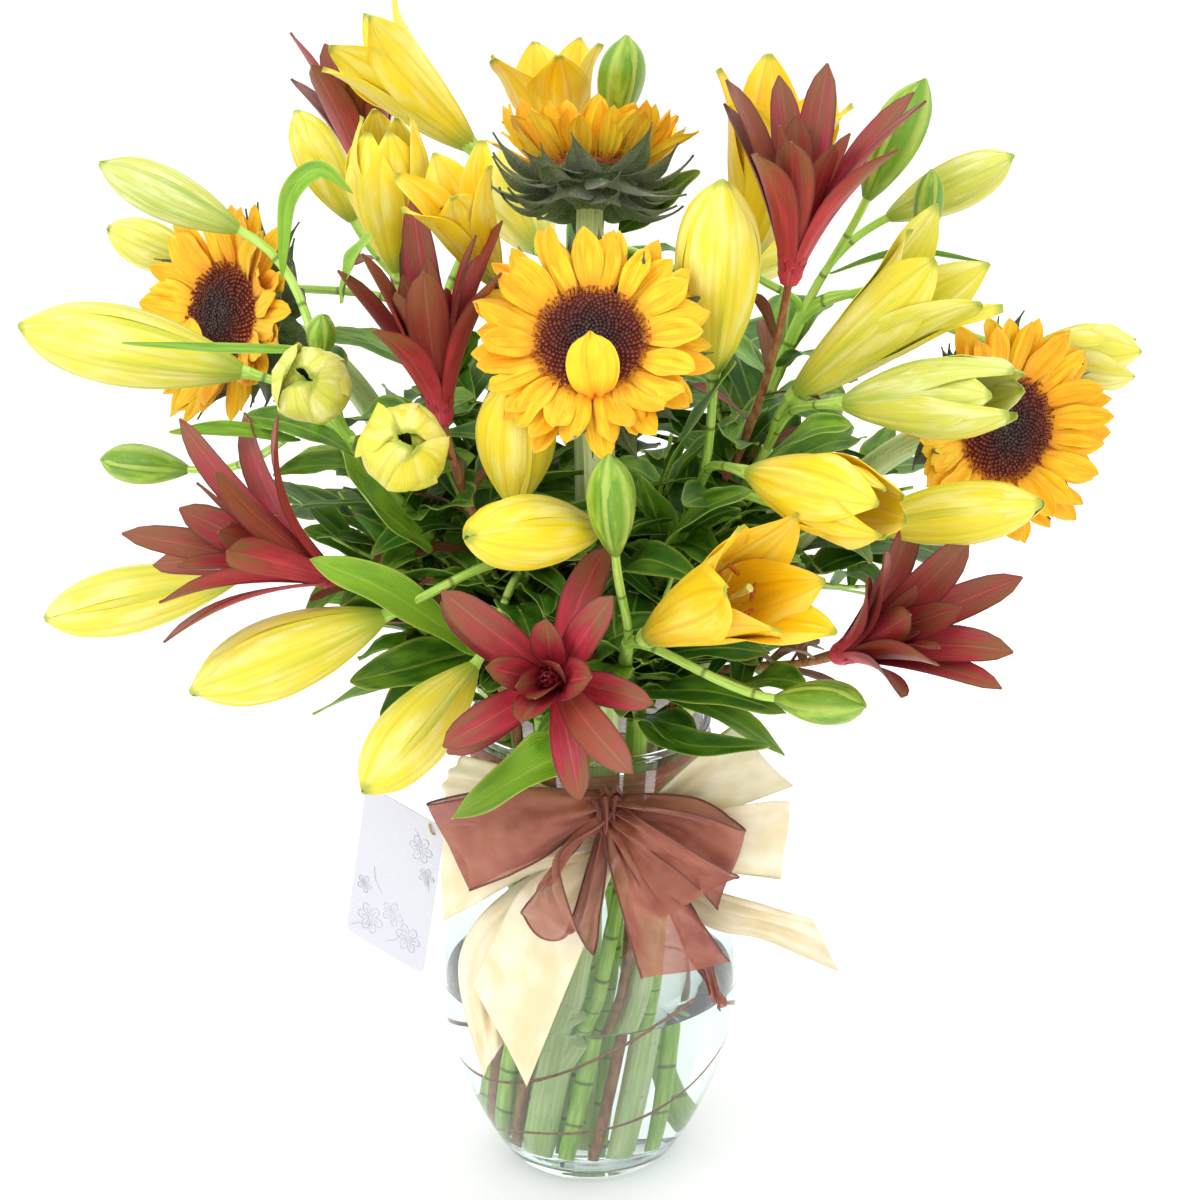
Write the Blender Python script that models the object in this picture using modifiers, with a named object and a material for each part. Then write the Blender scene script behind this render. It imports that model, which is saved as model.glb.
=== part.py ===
"""Sunflowers, lilies and conebush in a glass vase with a ribbon bow.

Metres, +Z up, origin at the centre of the vase's foot.

Everything above the vase is placed from the centre of its mouth, so it follows the vase's height. Each
stem stands straight in the vase, in its own slot of the neck, and bends above the mouth to its flower.
"""

import math

import bmesh
import bpy
from mathutils import Matrix, Vector
from mathutils.geometry import interpolate_bezier

# Vase
VASE_HEIGHT = 0.254
FOOT_RADIUS = 0.0395
BELLY_RADIUS = 0.0805
NECK_RADIUS = 0.056
RIM_RADIUS = 0.0625
BELLY_SHARE = 0.465  # heights of the belly and the neck, as shares of the vase's height
NECK_SHARE = 0.838
GLASS_WALL = 0.003
FLOOR_THICKNESS = 0.009
VASE_SIDES = 32
WATER_LEVEL = VASE_HEIGHT * 0.4213
CLEARANCE = 0.0004

# Stems
SUNFLOWER_STEM_RADIUS = 0.0065
FRONT_SUNFLOWER_STEM_RADIUS = 0.0075
LILY_STEM_RADIUS = 0.004
CONEBUSH_STEM_RADIUS = 0.0028
PEDICEL_RADIUS = 0.0022
PEDICEL_GAP = 0.0018
STEM_FOOT_HEIGHT = 0.018
RIM_POINT_HEIGHT = 0.006  # each stem stands clear of the glass up to this far above the mouth
OUTER_SLOT_SHARE = 0.82  # where the two rings of stems stand, as shares of the neck's inner radius
INNER_SLOT_SHARE = 0.46
FOOT_SPREAD = 0.85  # how far the feet stand out, against the stems at the neck
FOOT_TWIST = -50  # degrees round the axis from each stem's slot to its foot
VINE_RADIUS = 0.0011
VINE_TURNS = 1.6
VINE_POINTS = 32

# Flowers
SUNFLOWER_RADIUS = 0.0555
SUNFLOWER_DISC_RADIUS = 0.025
SUNFLOWER_PETALS = 18
SUNFLOWER_BRACTS = 11
CALYX_DEPTH = 0.018
PETAL_THICKNESS = 0.0016
LEAF_THICKNESS = 0.0013
LEAF_DROOP = 0.35  # how far a leaf's tip falls, as a share of its length

# Ribbons and card
RIBBON_THICKNESS = 0.0008
RIBBON_GAP = 0.004  # least distance from the glass to the loops and tails
CARD_SIZE = (0.054, 0.0006, 0.090)
CARD_CORNER = 0.004

MOUTH = Vector((0, 0, VASE_HEIGHT))
NECK_INNER = NECK_RADIUS - GLASS_WALL
NECK_HEIGHT = VASE_HEIGHT * NECK_SHARE
INNER_RADIUS = NECK_INNER * INNER_SLOT_SHARE
OUTER_RADIUS = NECK_INNER * OUTER_SLOT_SHARE
FRONT_STEM_RING = NECK_INNER - 1.27 * FRONT_SUNFLOWER_STEM_RADIUS
SUNFLOWER_STEM_RING = min(OUTER_RADIUS, NECK_INNER - 1.6 * SUNFLOWER_STEM_RADIUS)
FLOOR_RADIUS = FOOT_RADIUS * 0.8
WALL_SHARES = (0.02, 0.06, 0.14, 0.27, 0.4, 0.5, 0.6, 0.7, 0.77, NECK_SHARE, 0.91, 0.985)

# Each stem's slot in the neck: ring radius and the direction, in degrees, that it stands in.
SLOTS = {
    "lily_stem_a": (INNER_RADIUS, 225),
    "lily_stem_b": (OUTER_RADIUS, 212),
    "lily_stem_c": (INNER_RADIUS, 180),
    "lily_stem_d": (OUTER_RADIUS, 251),
    "lily_stem_e": (OUTER_RADIUS, 313),
    "lily_stem_f": (INNER_RADIUS, 300),
    "lily_stem_g": (INNER_RADIUS, 338),
    "lily_stem_h": (OUTER_RADIUS, 20),
    "lily_stem_i": (OUTER_RADIUS, 100),
    "sunflower_left_stem": (SUNFLOWER_STEM_RING, 190),
    "sunflower_front_stem": (FRONT_STEM_RING, 290),
    "sunflower_top_stem": (0.0, 0),
    "sunflower_right_stem": (SUNFLOWER_STEM_RING, 352),
    "conebush_left": (OUTER_RADIUS, 232),
    "conebush_front": (OUTER_RADIUS, 269),
    "conebush_middle": (INNER_RADIUS, 262),
    "conebush_top_right": (INNER_RADIUS, 20),
    "conebush_right": (OUTER_RADIUS, 333),
    "conebush_top_left": (OUTER_RADIUS, 160),
}

# Lily stems: where the stem ends (from the mouth's centre) and its green buds (base, tip, width).
LILY_STEMS = {
    "lily_stem_a": ((-0.102, -0.085, 0.172), [
        ((-0.211, 0.000, 0.120), (-0.258, 0.000, 0.123), 0.020),
        ((-0.111, -0.098, 0.214), (-0.106, -0.108, 0.237), 0.013),
    ]),
    "lily_stem_b": ((-0.088, -0.050, 0.073), []),
    "lily_stem_c": ((-0.075, 0.000, 0.196), []),
    "lily_stem_d": ((-0.018, -0.082, 0.106), []),
    "lily_stem_e": ((0.040, -0.112, 0.085), [
        ((0.040, -0.146, 0.142), (0.040, -0.162, 0.195), 0.021),
        ((0.114, -0.132, 0.070), (0.157, -0.146, 0.075), 0.020),
    ]),
    "lily_stem_f": ((0.064, -0.062, 0.142), []),
    "lily_stem_g": ((0.094, -0.030, 0.159), []),
    "lily_stem_h": ((0.102, 0.035, 0.210), [
        ((0.134, 0.022, 0.273), (0.160, 0.020, 0.333), 0.024),
        ((0.163, 0.005, 0.255), (0.167, 0.000, 0.294), 0.013),
    ]),
    "lily_stem_i": ((-0.010, 0.080, 0.225), [
        ((0.002, 0.055, 0.296), (0.009, 0.055, 0.342), 0.022),
    ]),
}

# Lily blooms: stem, kind, base and tip (from the mouth's centre) and width.
LILY_BLOOMS = {
    "lily_bloom_a1": ("lily_stem_a", "bud", (-0.159, -0.064, 0.265), (-0.221, -0.080, 0.298), 0.023),
    "lily_bloom_a2": ("lily_stem_a", "bud", (-0.152, -0.090, 0.202), (-0.258, -0.110, 0.225), 0.037),
    "lily_bloom_a3": ("lily_stem_a", "cup", (-0.106, -0.105, 0.194), (-0.103, -0.155, 0.224), 0.037),
    "lily_bloom_a4": ("lily_stem_a", "cup", (-0.067, -0.125, 0.173), (-0.046, -0.180, 0.204), 0.043),
    "lily_bloom_b1": ("lily_stem_b", "bud", (-0.175, -0.040, 0.078), (-0.275, -0.050, 0.052), 0.034),
    "lily_bloom_d4": ("lily_stem_d", "bud", (-0.075, -0.130, 0.097), (-0.160, -0.170, 0.067), 0.037),
    "lily_bloom_d5": ("lily_stem_d", "bud", (-0.034, -0.120, 0.070), (-0.074, -0.180, 0.028), 0.034),
    "lily_bloom_c1": ("lily_stem_c", "open", (-0.063, 0.020, 0.291), (-0.124, 0.020, 0.346), 0.045),
    "lily_bloom_c2": ("lily_stem_c", "bud", (-0.119, 0.000, 0.256), (-0.147, 0.000, 0.310), 0.024),
    "lily_bloom_c3": ("lily_stem_c", "half", (-0.084, -0.050, 0.245), (-0.088, -0.058, 0.321), 0.040),
    "lily_bloom_c4": ("lily_stem_c", "bud", (-0.206, 0.032, 0.218), (-0.256, 0.025, 0.240), 0.025),
    "lily_bloom_d1": ("lily_stem_d", "open", (-0.032, -0.070, 0.247), (-0.053, -0.090, 0.305), 0.042),
    "lily_bloom_d2": ("lily_stem_d", "bud", (-0.012, -0.122, 0.155), (-0.008, -0.140, 0.221), 0.035),
    "lily_bloom_d3": ("lily_stem_d", "bud", (0.028, -0.130, 0.147), (-0.019, -0.200, 0.165), 0.033),
    "lily_bloom_e1": ("lily_stem_e", "open", (0.053, -0.130, 0.096), (0.122, -0.188, 0.154), 0.055),
    "lily_bloom_f1": ("lily_stem_f", "bud", (0.075, -0.084, 0.213), (0.079, -0.092, 0.306), 0.039),
    "lily_bloom_f2": ("lily_stem_f", "half", (0.098, -0.118, 0.175), (0.169, -0.170, 0.176), 0.039),
    "lily_bloom_f3": ("lily_stem_f", "bud", (0.149, -0.082, 0.141), (0.232, -0.110, 0.166), 0.029),
    "lily_bloom_g1": ("lily_stem_g", "open", (0.110, -0.050, 0.193), (0.187, -0.070, 0.268), 0.049),
    "lily_bloom_g2": ("lily_stem_g", "half", (0.138, -0.085, 0.201), (0.219, -0.125, 0.222), 0.039),
    "lily_bloom_h1": ("lily_stem_h", "open", (0.077, 0.015, 0.243), (0.099, 0.000, 0.332), 0.058),
    "lily_bloom_h2": ("lily_stem_h", "bud", (0.143, 0.042, 0.259), (0.203, 0.042, 0.292), 0.024),
    "lily_bloom_h3": ("lily_stem_h", "half", (0.217, 0.022, 0.200), (0.268, 0.030, 0.197), 0.032),
    "lily_bloom_i1": ("lily_stem_i", "open", (-0.025, 0.062, 0.270), (-0.035, 0.070, 0.333), 0.051),
    "lily_bloom_i2": ("lily_stem_i", "half", (-0.049, 0.120, 0.214), (-0.084, 0.185, 0.242), 0.039),
    "lily_bloom_i3": ("lily_stem_i", "bud", (0.048, 0.125, 0.204), (0.085, 0.190, 0.220), 0.033),
}

# Sunflowers: where the head sits (from the mouth's centre), the way it faces and its stem's radius.
SUNFLOWERS = {
    "sunflower_left": ((-0.176, -0.030, 0.212), (-0.55, -0.75, 0.30), SUNFLOWER_STEM_RADIUS),
    "sunflower_front": ((0.025, -0.125, 0.235), (0.10, -0.76, 0.62), FRONT_SUNFLOWER_STEM_RADIUS),
    "sunflower_top": ((0.000, 0.005, 0.284), (-0.05, 0.42, 0.90), SUNFLOWER_STEM_RADIUS),
    "sunflower_right": ((0.207, -0.030, 0.176), (0.60, -0.78, 0.18), SUNFLOWER_STEM_RADIUS),
}

# Conebush heads: base (from the mouth's centre), the way each points, its length and how far its bracts
# open, in degrees from the axis.
CONEBUSHES = {
    "conebush_left": ((-0.102, -0.118, 0.110), (-0.75, -0.45, 0.49), 0.081, 42),
    "conebush_front": ((0.012, -0.140, 0.075), (-0.03, -0.92, 0.40), 0.058, 68),
    "conebush_middle": ((-0.052, -0.098, 0.189), (-0.10, -0.16, 0.98), 0.074, 29),
    "conebush_top_right": ((0.106, -0.052, 0.252), (0.14, -0.20, 0.97), 0.079, 35),
    "conebush_right": ((0.139, -0.090, 0.078), (0.65, -0.53, 0.54), 0.073, 33),
    "conebush_top_left": ((-0.123, 0.060, 0.255), (-0.18, 0.05, 0.98), 0.065, 26),
}
CONEBUSH_BRACTS = 8
CONEBUSH_CORE_RADIUS = 0.009
BRACT_WIDTH = 0.015

# Leaves on each stem: share of the stem above the mouth, direction and rise in degrees, length, width.
LEAVES = {
    "lily_stem_a": [(0.45, 205, 55, 0.080, 0.020), (0.70, 285, 40, 0.060, 0.018)],
    "lily_stem_b": [(0.25, 195, 10, 0.090, 0.024), (0.60, 165, 40, 0.070, 0.020)],
    "lily_stem_c": [
        (0.30, 105, 30, 0.090, 0.022),
        (0.50, 235, 55, 0.080, 0.020),
        (0.75, 75, 25, 0.080, 0.020),
    ],
    "lily_stem_d": [(0.18, 228, 6, 0.085, 0.028), (0.55, 230, 45, 0.080, 0.022)],
    "lily_stem_e": [(0.30, 335, 12, 0.090, 0.024)],
    "lily_stem_f": [(0.35, 325, 35, 0.080, 0.022), (0.70, 345, 55, 0.070, 0.020)],
    "lily_stem_g": [(0.30, 350, 20, 0.090, 0.024), (0.60, 15, 35, 0.080, 0.022)],
    "lily_stem_h": [(0.20, 30, 20, 0.100, 0.026), (0.40, 55, 30, 0.090, 0.024), (0.65, 5, 15, 0.080, 0.020)],
    "lily_stem_i": [
        (0.15, 80, 15, 0.100, 0.026),
        (0.30, 130, 20, 0.100, 0.026),
        (0.50, 50, 35, 0.090, 0.022),
        (0.65, 150, 30, 0.090, 0.022),
    ],
    "sunflower_left_stem": [(0.35, 175, 20, 0.090, 0.034)],
    "sunflower_right_stem": [(0.40, 10, 15, 0.090, 0.034)],
    "conebush_left": [(0.50, 190, 20, 0.050, 0.010), (0.75, 215, 50, 0.045, 0.010)],
    "conebush_right": [(0.55, 350, 10, 0.055, 0.010), (0.80, 20, 20, 0.050, 0.010)],
    "conebush_middle": [(0.55, 215, 30, 0.050, 0.011)],
    "conebush_top_right": [(0.55, 30, 40, 0.060, 0.010)],
    "conebush_top_left": [(0.60, 120, 40, 0.060, 0.010)],
}

# The two bands round the neck: height of the ribbon and how far its middle is below the mouth. Each
# bow's knot: direction in degrees, how far below the mouth, and how far its front is from the axis.
SATIN_BAND = (0.011, 0.041)
ORGANZA_BAND = (0.022, 0.022)
SATIN_KNOT = (291.4, 0.041, 0.0717)
ORGANZA_KNOT = (286.7, 0.019, 0.0846)
KNOT_RADIUS = 0.0075

# Ribbon runs, each a list of (middle of the ribbon, vector to its edge), from the mouth's centre.
SATIN_RUNS = {
    "right upper loop": [
        ((0.027, -0.065, -0.040), (0.001, 0.000, -0.004)),
        ((0.071, -0.076, -0.003), (0.005, 0.000, -0.014)),
        ((0.100, -0.066, 0.012), (0.015, 0.000, -0.015)),
        ((0.071, -0.060, -0.005), (0.006, 0.000, -0.012)),
        ((0.027, -0.063, -0.038), (0.001, 0.000, -0.004)),
    ],
    "right lower loop": [
        ((0.027, -0.066, -0.042), (0.000, 0.000, -0.005)),
        ((0.078, -0.080, -0.028), (0.000, 0.000, -0.016)),
        ((0.112, -0.070, -0.031), (-0.001, 0.000, -0.021)),
        ((0.079, -0.066, -0.039), (0.001, -0.002, -0.014)),
        ((0.027, -0.064, -0.042), (0.000, 0.000, -0.005)),
    ],
    "left upper loop": [
        ((0.025, -0.065, -0.040), (-0.001, 0.000, -0.005)),
        ((-0.023, -0.074, -0.015), (-0.002, 0.000, -0.011)),
        ((-0.060, -0.062, -0.015), (-0.004, 0.000, -0.013)),
        ((-0.026, -0.061, -0.019), (-0.001, 0.000, -0.010)),
        ((0.025, -0.063, -0.038), (-0.001, 0.000, -0.005)),
    ],
    "left lower loop": [
        ((0.025, -0.066, -0.042), (0.000, 0.000, -0.005)),
        ((-0.019, -0.078, -0.046), (0.001, 0.000, -0.014)),
        ((-0.063, -0.068, -0.066), (0.000, 0.000, -0.026)),
        ((-0.023, -0.066, -0.050), (0.002, -0.002, -0.013)),
        ((0.025, -0.064, -0.042), (0.000, 0.000, -0.005)),
    ],
    "front tail": [
        ((0.025, -0.066, -0.042), (0.004, 0.000, -0.002)),
        ((0.002, -0.081, -0.067), (0.017, 0.000, -0.008)),
        ((-0.013, -0.087, -0.100), (0.018, 0.000, -0.014)),
        ((-0.030, -0.088, -0.144), (0.014, -0.001, -0.028)),
    ],
    "back tail": [
        ((0.025, -0.065, -0.043), (0.002, 0.000, -0.002)),
        ((-0.020, -0.073, -0.081), (0.008, -0.001, -0.011)),
        ((-0.041, -0.080, -0.115), (0.013, -0.001, -0.005)),
        ((-0.036, -0.083, -0.164), (0.006, -0.001, 0.012)),
    ],
    "right tail": [
        ((0.027, -0.065, -0.043), (0.000, 0.000, -0.003)),
        ((0.071, -0.076, -0.066), (0.000, 0.000, -0.010)),
        ((0.105, -0.076, -0.074), (0.000, 0.000, -0.010)),
        ((0.133, -0.070, -0.086), (0.007, 0.000, -0.014)),
    ],
}
ORGANZA_RUNS = {
    "left loop": [
        ((0.024, -0.077, -0.016), (0.000, 0.000, -0.006)),
        ((-0.008, -0.096, -0.021), (0.004, 0.000, -0.018)),
        ((-0.055, -0.088, -0.041), (0.010, 0.000, -0.023)),
        ((-0.016, -0.086, -0.024), (0.004, 0.000, -0.019)),
        ((0.024, -0.074, -0.016), (0.000, 0.000, -0.006)),
    ],
    "middle loop": [
        ((0.0235, -0.0800, -0.018), (-0.004, 0.000, -0.004)),
        ((-0.001, -0.104, -0.046), (-0.006, -0.001, -0.008)),
        ((0.004, -0.100, -0.075), (-0.017, 0.001, 0.009)),
        ((0.013, -0.092, -0.075), (-0.009, 0.000, -0.007)),
        ((0.0245, -0.0765, -0.019), (-0.003, 0.000, -0.003)),
    ],
    "right loop": [
        ((0.0225, -0.0785, -0.018), (0.000, 0.000, -0.005)),
        ((0.065, -0.096, -0.021), (-0.005, 0.000, -0.014)),
        ((0.088, -0.088, -0.041), (-0.006, 0.000, -0.022)),
        ((0.064, -0.086, -0.024), (-0.004, 0.000, -0.018)),
        ((0.0225, -0.0730, -0.017), (0.000, 0.000, -0.005)),
    ],
    "wide tail": [
        ((0.0240, -0.0790, -0.0205), (0.004, 0.000, -0.001)),
        ((0.046, -0.100, -0.049), (0.015, 0.000, -0.001)),
        ((0.059, -0.102, -0.074), (0.020, 0.000, 0.003)),
        ((0.067, -0.098, -0.093), (0.022, 0.000, 0.007)),
    ],
    "narrow tail": [
        ((0.0230, -0.0755, -0.0215), (0.003, 0.000, -0.001)),
        ((0.062, -0.088, -0.062), (0.006, 0.000, 0.001)),
        ((0.073, -0.088, -0.090), (0.006, 0.000, -0.001)),
        ((0.082, -0.086, -0.114), (0.002, 0.000, -0.006)),
    ],
}

# The card's middle: its direction in degrees, how far beyond the belly and how far below the mouth. Then
# how it hangs: turned about Z and swung in its own plane, in degrees.
CARD_PLACE = (206, 0.0243, 0.082)
CARD_TURN = -27
CARD_SWING = 11
CARD_HOLE_INSET = 0.006
CARD_TIE_RADIUS = 0.0006
CARD_TIE_DROP = 0.056

# Lengthwise shapes, each a list of (share of the length, share of the widest half width).
BUD_STATIONS = ((0.0, 0.20), (0.12, 0.55), (0.35, 0.90), (0.60, 1.0), (0.85, 0.72), (1.0, 0.12))
GREEN_BUD_STATIONS = ((0.0, 0.25), (0.2, 0.7), (0.55, 1.0), (0.85, 0.65), (1.0, 0.15))
LEAF_STATIONS = ((0.0, 0.25), (0.3, 0.85), (0.6, 1.0), (0.85, 0.55), (1.0, 0.05))
BRACT_STATIONS = ((0.0, 0.30), (0.5, 1.0), (1.0, 0.12))
CORE_STATIONS = ((-0.1, 0.45), (0.25, 0.9), (0.6, 1.0), (0.9, 0.5), (1.0, 0.12))

# Open lilies: outer profile, then where the petals' tips and the notches between them are.
OPEN_STATIONS = {
    "half": (((0.0, 0.20), (0.15, 0.55), (0.45, 0.95)), (1.0, 0.55), (0.75, 0.95)),
    "open": (((0.0, 0.16), (0.18, 0.42), (0.48, 0.70)), (1.0, 1.0), (0.62, 0.80)),
    "cup": (((0.0, 0.20), (0.25, 0.75), (0.60, 1.0)), (1.0, 0.62), (0.78, 0.92)),
}


def clear_scene():
    for obj in list(bpy.data.objects):
        bpy.data.objects.remove(obj)


def make_collection(name, shown=True):
    found = bpy.data.collections.new(name)
    bpy.context.scene.collection.children.link(found)
    found.hide_render = not shown
    return found


def material(name, colour, roughness=0.5, transmission=0.0):
    made = bpy.data.materials.new(name)
    made.use_nodes = True
    shader = made.node_tree.nodes["Principled BSDF"]
    shader.inputs["Base Color"].default_value = (*colour, 1)
    shader.inputs["Roughness"].default_value = roughness
    shader.inputs["Transmission Weight"].default_value = transmission
    made.diffuse_color = (*colour, 1)
    return made


def add_object(name, mesh, look):
    mesh.name = name
    mesh.materials.clear()
    mesh.materials.append(look)
    obj = bpy.data.objects.new(name, mesh)
    PARTS.objects.link(obj)
    return obj


def add_helper(name, data):
    """An object that only shapes others, so it is never rendered."""
    obj = bpy.data.objects.new(name, data)
    obj.hide_render = True
    obj.display_type = "WIRE"
    HELPERS.objects.link(obj)
    return obj


def baked(obj):
    """The object's finished mesh, as one welded skin that faces outwards; the object is removed."""
    bpy.context.view_layer.update()
    graph = bpy.context.evaluated_depsgraph_get()
    mesh = bpy.data.meshes.new_from_object(obj.evaluated_get(graph))
    bpy.data.objects.remove(obj)
    bm = bmesh.new()
    bm.from_mesh(mesh)
    bmesh.ops.remove_doubles(bm, verts=bm.verts, dist=2e-6)
    bmesh.ops.recalc_face_normals(bm, faces=bm.faces)
    bm.to_mesh(mesh)
    bm.free()
    return mesh


def joined(meshes):
    """One closed mesh: the union of closed meshes that overlap."""
    base = add_helper("base", meshes[0])
    extras = [add_helper("extra", mesh) for mesh in meshes[1:]]
    for extra in extras:
        union = base.modifiers.new("union", "BOOLEAN")
        union.operation, union.solver, union.object = "UNION", "EXACT", extra
    result = baked(base)
    for extra in extras:
        bpy.data.objects.remove(extra)
    return result


def turned(profile, steps):
    """A solid of revolution from (radius, height) pairs that run from the axis, round and back to it."""
    mesh = bpy.data.meshes.new("profile")
    bm = bmesh.new()
    points = [bm.verts.new((radius, 0, height)) for radius, height in profile]
    for a, b in zip(points, points[1:]):
        bm.edges.new((a, b))
    bm.to_mesh(mesh)
    bm.free()
    obj = add_helper("turned", mesh)
    screw = obj.modifiers.new("turn", "SCREW")
    screw.steps = screw.render_steps = steps
    screw.use_merge_vertices = True
    screw.merge_threshold = 0.00005
    return baked(obj)


def tube(points, radii, sides=8):
    """A closed round tube along points, with a radius for each."""
    curve = bpy.data.curves.new("tube", "CURVE")
    curve.dimensions = "3D"
    curve.bevel_depth = 1.0
    curve.bevel_resolution = (sides - 4) // 2
    curve.use_fill_caps = True
    spline = curve.splines.new("POLY")
    spline.points.add(len(points) - 1)
    for knot, point, radius in zip(spline.points, points, radii):
        knot.co = (*point, 1)
        knot.radius = radius
    return baked(add_helper("tube", curve))


def even_tube(points, radius, sides=8):
    return tube(points, [radius] * len(points), sides)


def loft(rings, closed=False):
    """A mesh through rings of equal length. Its ends are filled or, if closed, meet each other."""
    bm = bmesh.new()
    made = [[bm.verts.new(point) for point in ring] for ring in rings]
    following = made[1:] + made[:1] if closed else made[1:]
    for low, high in zip(made, following):
        for i in range(len(low)):
            bm.faces.new((low[i - 1], low[i], high[i], high[i - 1]))
    if not closed:
        bm.faces.new(reversed(made[0]))
        bm.faces.new(made[-1])
    bmesh.ops.recalc_face_normals(bm, faces=bm.faces)
    mesh = bpy.data.meshes.new("loft")
    bm.to_mesh(mesh)
    bm.free()
    return mesh


def polar(radius, degrees, height):
    angle = math.radians(degrees)
    return Vector((radius * math.cos(angle), radius * math.sin(angle), height))


def zigzag(columns, even, odd):
    """A ring of points about Z; even and odd ones each have their own (radius, height)."""
    pairs = [even if i % 2 == 0 else odd for i in range(columns)]
    return [polar(radius, 360 * i / columns, height) for i, (radius, height) in enumerate(pairs)]


def circle(radius, height, sides):
    return zigzag(sides, (radius, height), (radius, height))


def raised(ring, height):
    return [point + Vector((0, 0, height)) for point in ring]


def heading(points, i):
    """The way a line of points runs at point i."""
    return (points[min(i + 1, len(points) - 1)] - points[max(i - 1, 0)]).normalized()


def blade(points, widths, normal):
    """A leaf or bract along points: a thin diamond section that tapers to both ends."""
    rings = []
    for i, (point, width) in enumerate(zip(points, widths)):
        along = heading(points, i)
        side = along.cross(normal).normalized()
        up = side.cross(along) * (LEAF_THICKNESS / 2)
        edge = side * (width / 2)
        rings.append([point - edge, point + up, point + edge, point - up])
    return loft(rings)


def strip(points, reaches):
    """A flat ribbon along points; each reach is the vector from its middle to one edge."""
    rings = []
    for i, (point, reach) in enumerate(zip(points, reaches)):
        up = heading(points, i).cross(reach).normalized() * (RIBBON_THICKNESS / 2)
        rings.append([point - reach - up, point + reach - up, point + reach + up, point - reach + up])
    return loft(rings)


def bend(start, start_direction, end, end_direction, count):
    """A smooth path from start to end that leaves and arrives in the given directions."""
    reach = (end - start).length * 0.4
    leave = start + start_direction.normalized() * reach
    arrive = end - end_direction.normalized() * reach
    return list(interpolate_bezier(start, leave, arrive, end, count))


def facing(origin, direction):
    """A frame at origin whose Z points in direction."""
    z = direction.normalized()
    x = Vector((0, 0, 1)).cross(z).normalized()
    turn = Matrix((x, z.cross(x), z)).transposed().to_4x4()
    return Matrix.Translation(origin) @ turn


def vase_radius(height):
    """The vase's outer radius: foot, belly, neck and rim joined by smooth curves."""
    share = min(max(height / VASE_HEIGHT, 0.0), 1.0)
    if share <= BELLY_SHARE:
        swell = math.sin(math.pi / 2 * share / BELLY_SHARE) ** 0.75
        return FOOT_RADIUS + (BELLY_RADIUS - FOOT_RADIUS) * swell
    if share <= NECK_SHARE:
        part = (share - BELLY_SHARE) / (NECK_SHARE - BELLY_SHARE)
        return BELLY_RADIUS + (NECK_RADIUS - BELLY_RADIUS) * part * part * (3 - 2 * part)
    part = (share - NECK_SHARE) / (1 - NECK_SHARE)
    return NECK_RADIUS + (RIM_RADIUS - NECK_RADIUS) * part * part


def make_vase():
    outside = [VASE_HEIGHT * share for share in WALL_SHARES]
    inside = [height for height in outside if height > FLOOR_THICKNESS * 1.3]
    profile = [(0, FLOOR_THICKNESS), (FLOOR_RADIUS, FLOOR_THICKNESS)]
    profile += [(vase_radius(height) - GLASS_WALL, height) for height in inside]
    profile += [(RIM_RADIUS - GLASS_WALL * share, VASE_HEIGHT) for share in (0.7, 0.2)]
    profile += [(vase_radius(height), height) for height in reversed(outside)]
    profile += [(FOOT_RADIUS, 0), (0, 0)]
    add_object("vase", turned(profile, VASE_SIDES), material("clear_glass", (0.85, 0.93, 0.92), 0.02, 1.0))


def make_water(pieces):
    """The water fills the vase to its level, with a bore for every stem and for the vine."""
    bottom = FLOOR_THICKNESS + CLEARANCE
    heights = [VASE_HEIGHT * share for share in WALL_SHARES]
    heights = [height for height in heights if bottom * 1.2 < height < WATER_LEVEL * 0.95]
    gap = GLASS_WALL + CLEARANCE
    profile = [(0, bottom), (FLOOR_RADIUS - CLEARANCE, bottom)]
    profile += [(vase_radius(height) - gap, height) for height in heights + [WATER_LEVEL]]
    profile += [(0, WATER_LEVEL)]
    look = material("water", (0.80, 0.90, 0.88), 0.0, 1.0)
    water = add_object("water", turned(profile, VASE_SIDES), look)
    for piece in pieces:
        cut = water.modifiers.new("bore", "BOOLEAN")
        cut.operation, cut.solver, cut.object = "DIFFERENCE", "EXACT", piece


def stem_path(name, end, end_direction):
    """The stem's line: straight from its foot to the neck, up past the rim, then bending to its end."""
    ring, direction = SLOTS[name]
    foot = polar(ring * FOOT_SPREAD, direction + FOOT_TWIST, STEM_FOOT_HEIGHT)
    neck = polar(ring, direction, NECK_HEIGHT)
    rim = polar(ring * RIM_RADIUS / NECK_RADIUS, direction, VASE_HEIGHT + RIM_POINT_HEIGHT)
    leave = Vector((3 * (end.x - rim.x), 3 * (end.y - rim.y), 1))
    return [foot, neck] + bend(rim, leave, end, end_direction, 7)


def bore_for(name, path, radius):
    """What the water leaves free for a stem: its stretch from the foot to the neck, grown by a gap."""
    foot, neck = path[:2]
    low = foot - (neck - foot).normalized() * CLEARANCE
    return add_helper(name + "_bore", even_tube([low, neck], radius + 2 * CLEARANCE))


def leaf_meshes(name, path):
    """The leaves that the table gives this stem; they grow above the mouth and droop to their tips."""
    made = []
    grown = path[2:]
    for share, direction, rise, length, width in LEAVES.get(name, []):
        place = share * (len(grown) - 1)
        start = grown[int(place)].lerp(grown[int(place) + 1], place % 1)
        way = polar(math.cos(math.radians(rise)), direction, math.sin(math.radians(rise)))
        points = []
        for part, _ in LEAF_STATIONS:
            droop = Vector((0, 0, LEAF_DROOP * length * part * part))
            points.append(start + way * (length * part) - droop)
        side = way.cross(Vector((0, 0, 1)))
        made.append(blade(points, [width * wide for _, wide in LEAF_STATIONS], side.cross(way)))
    return made


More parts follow.
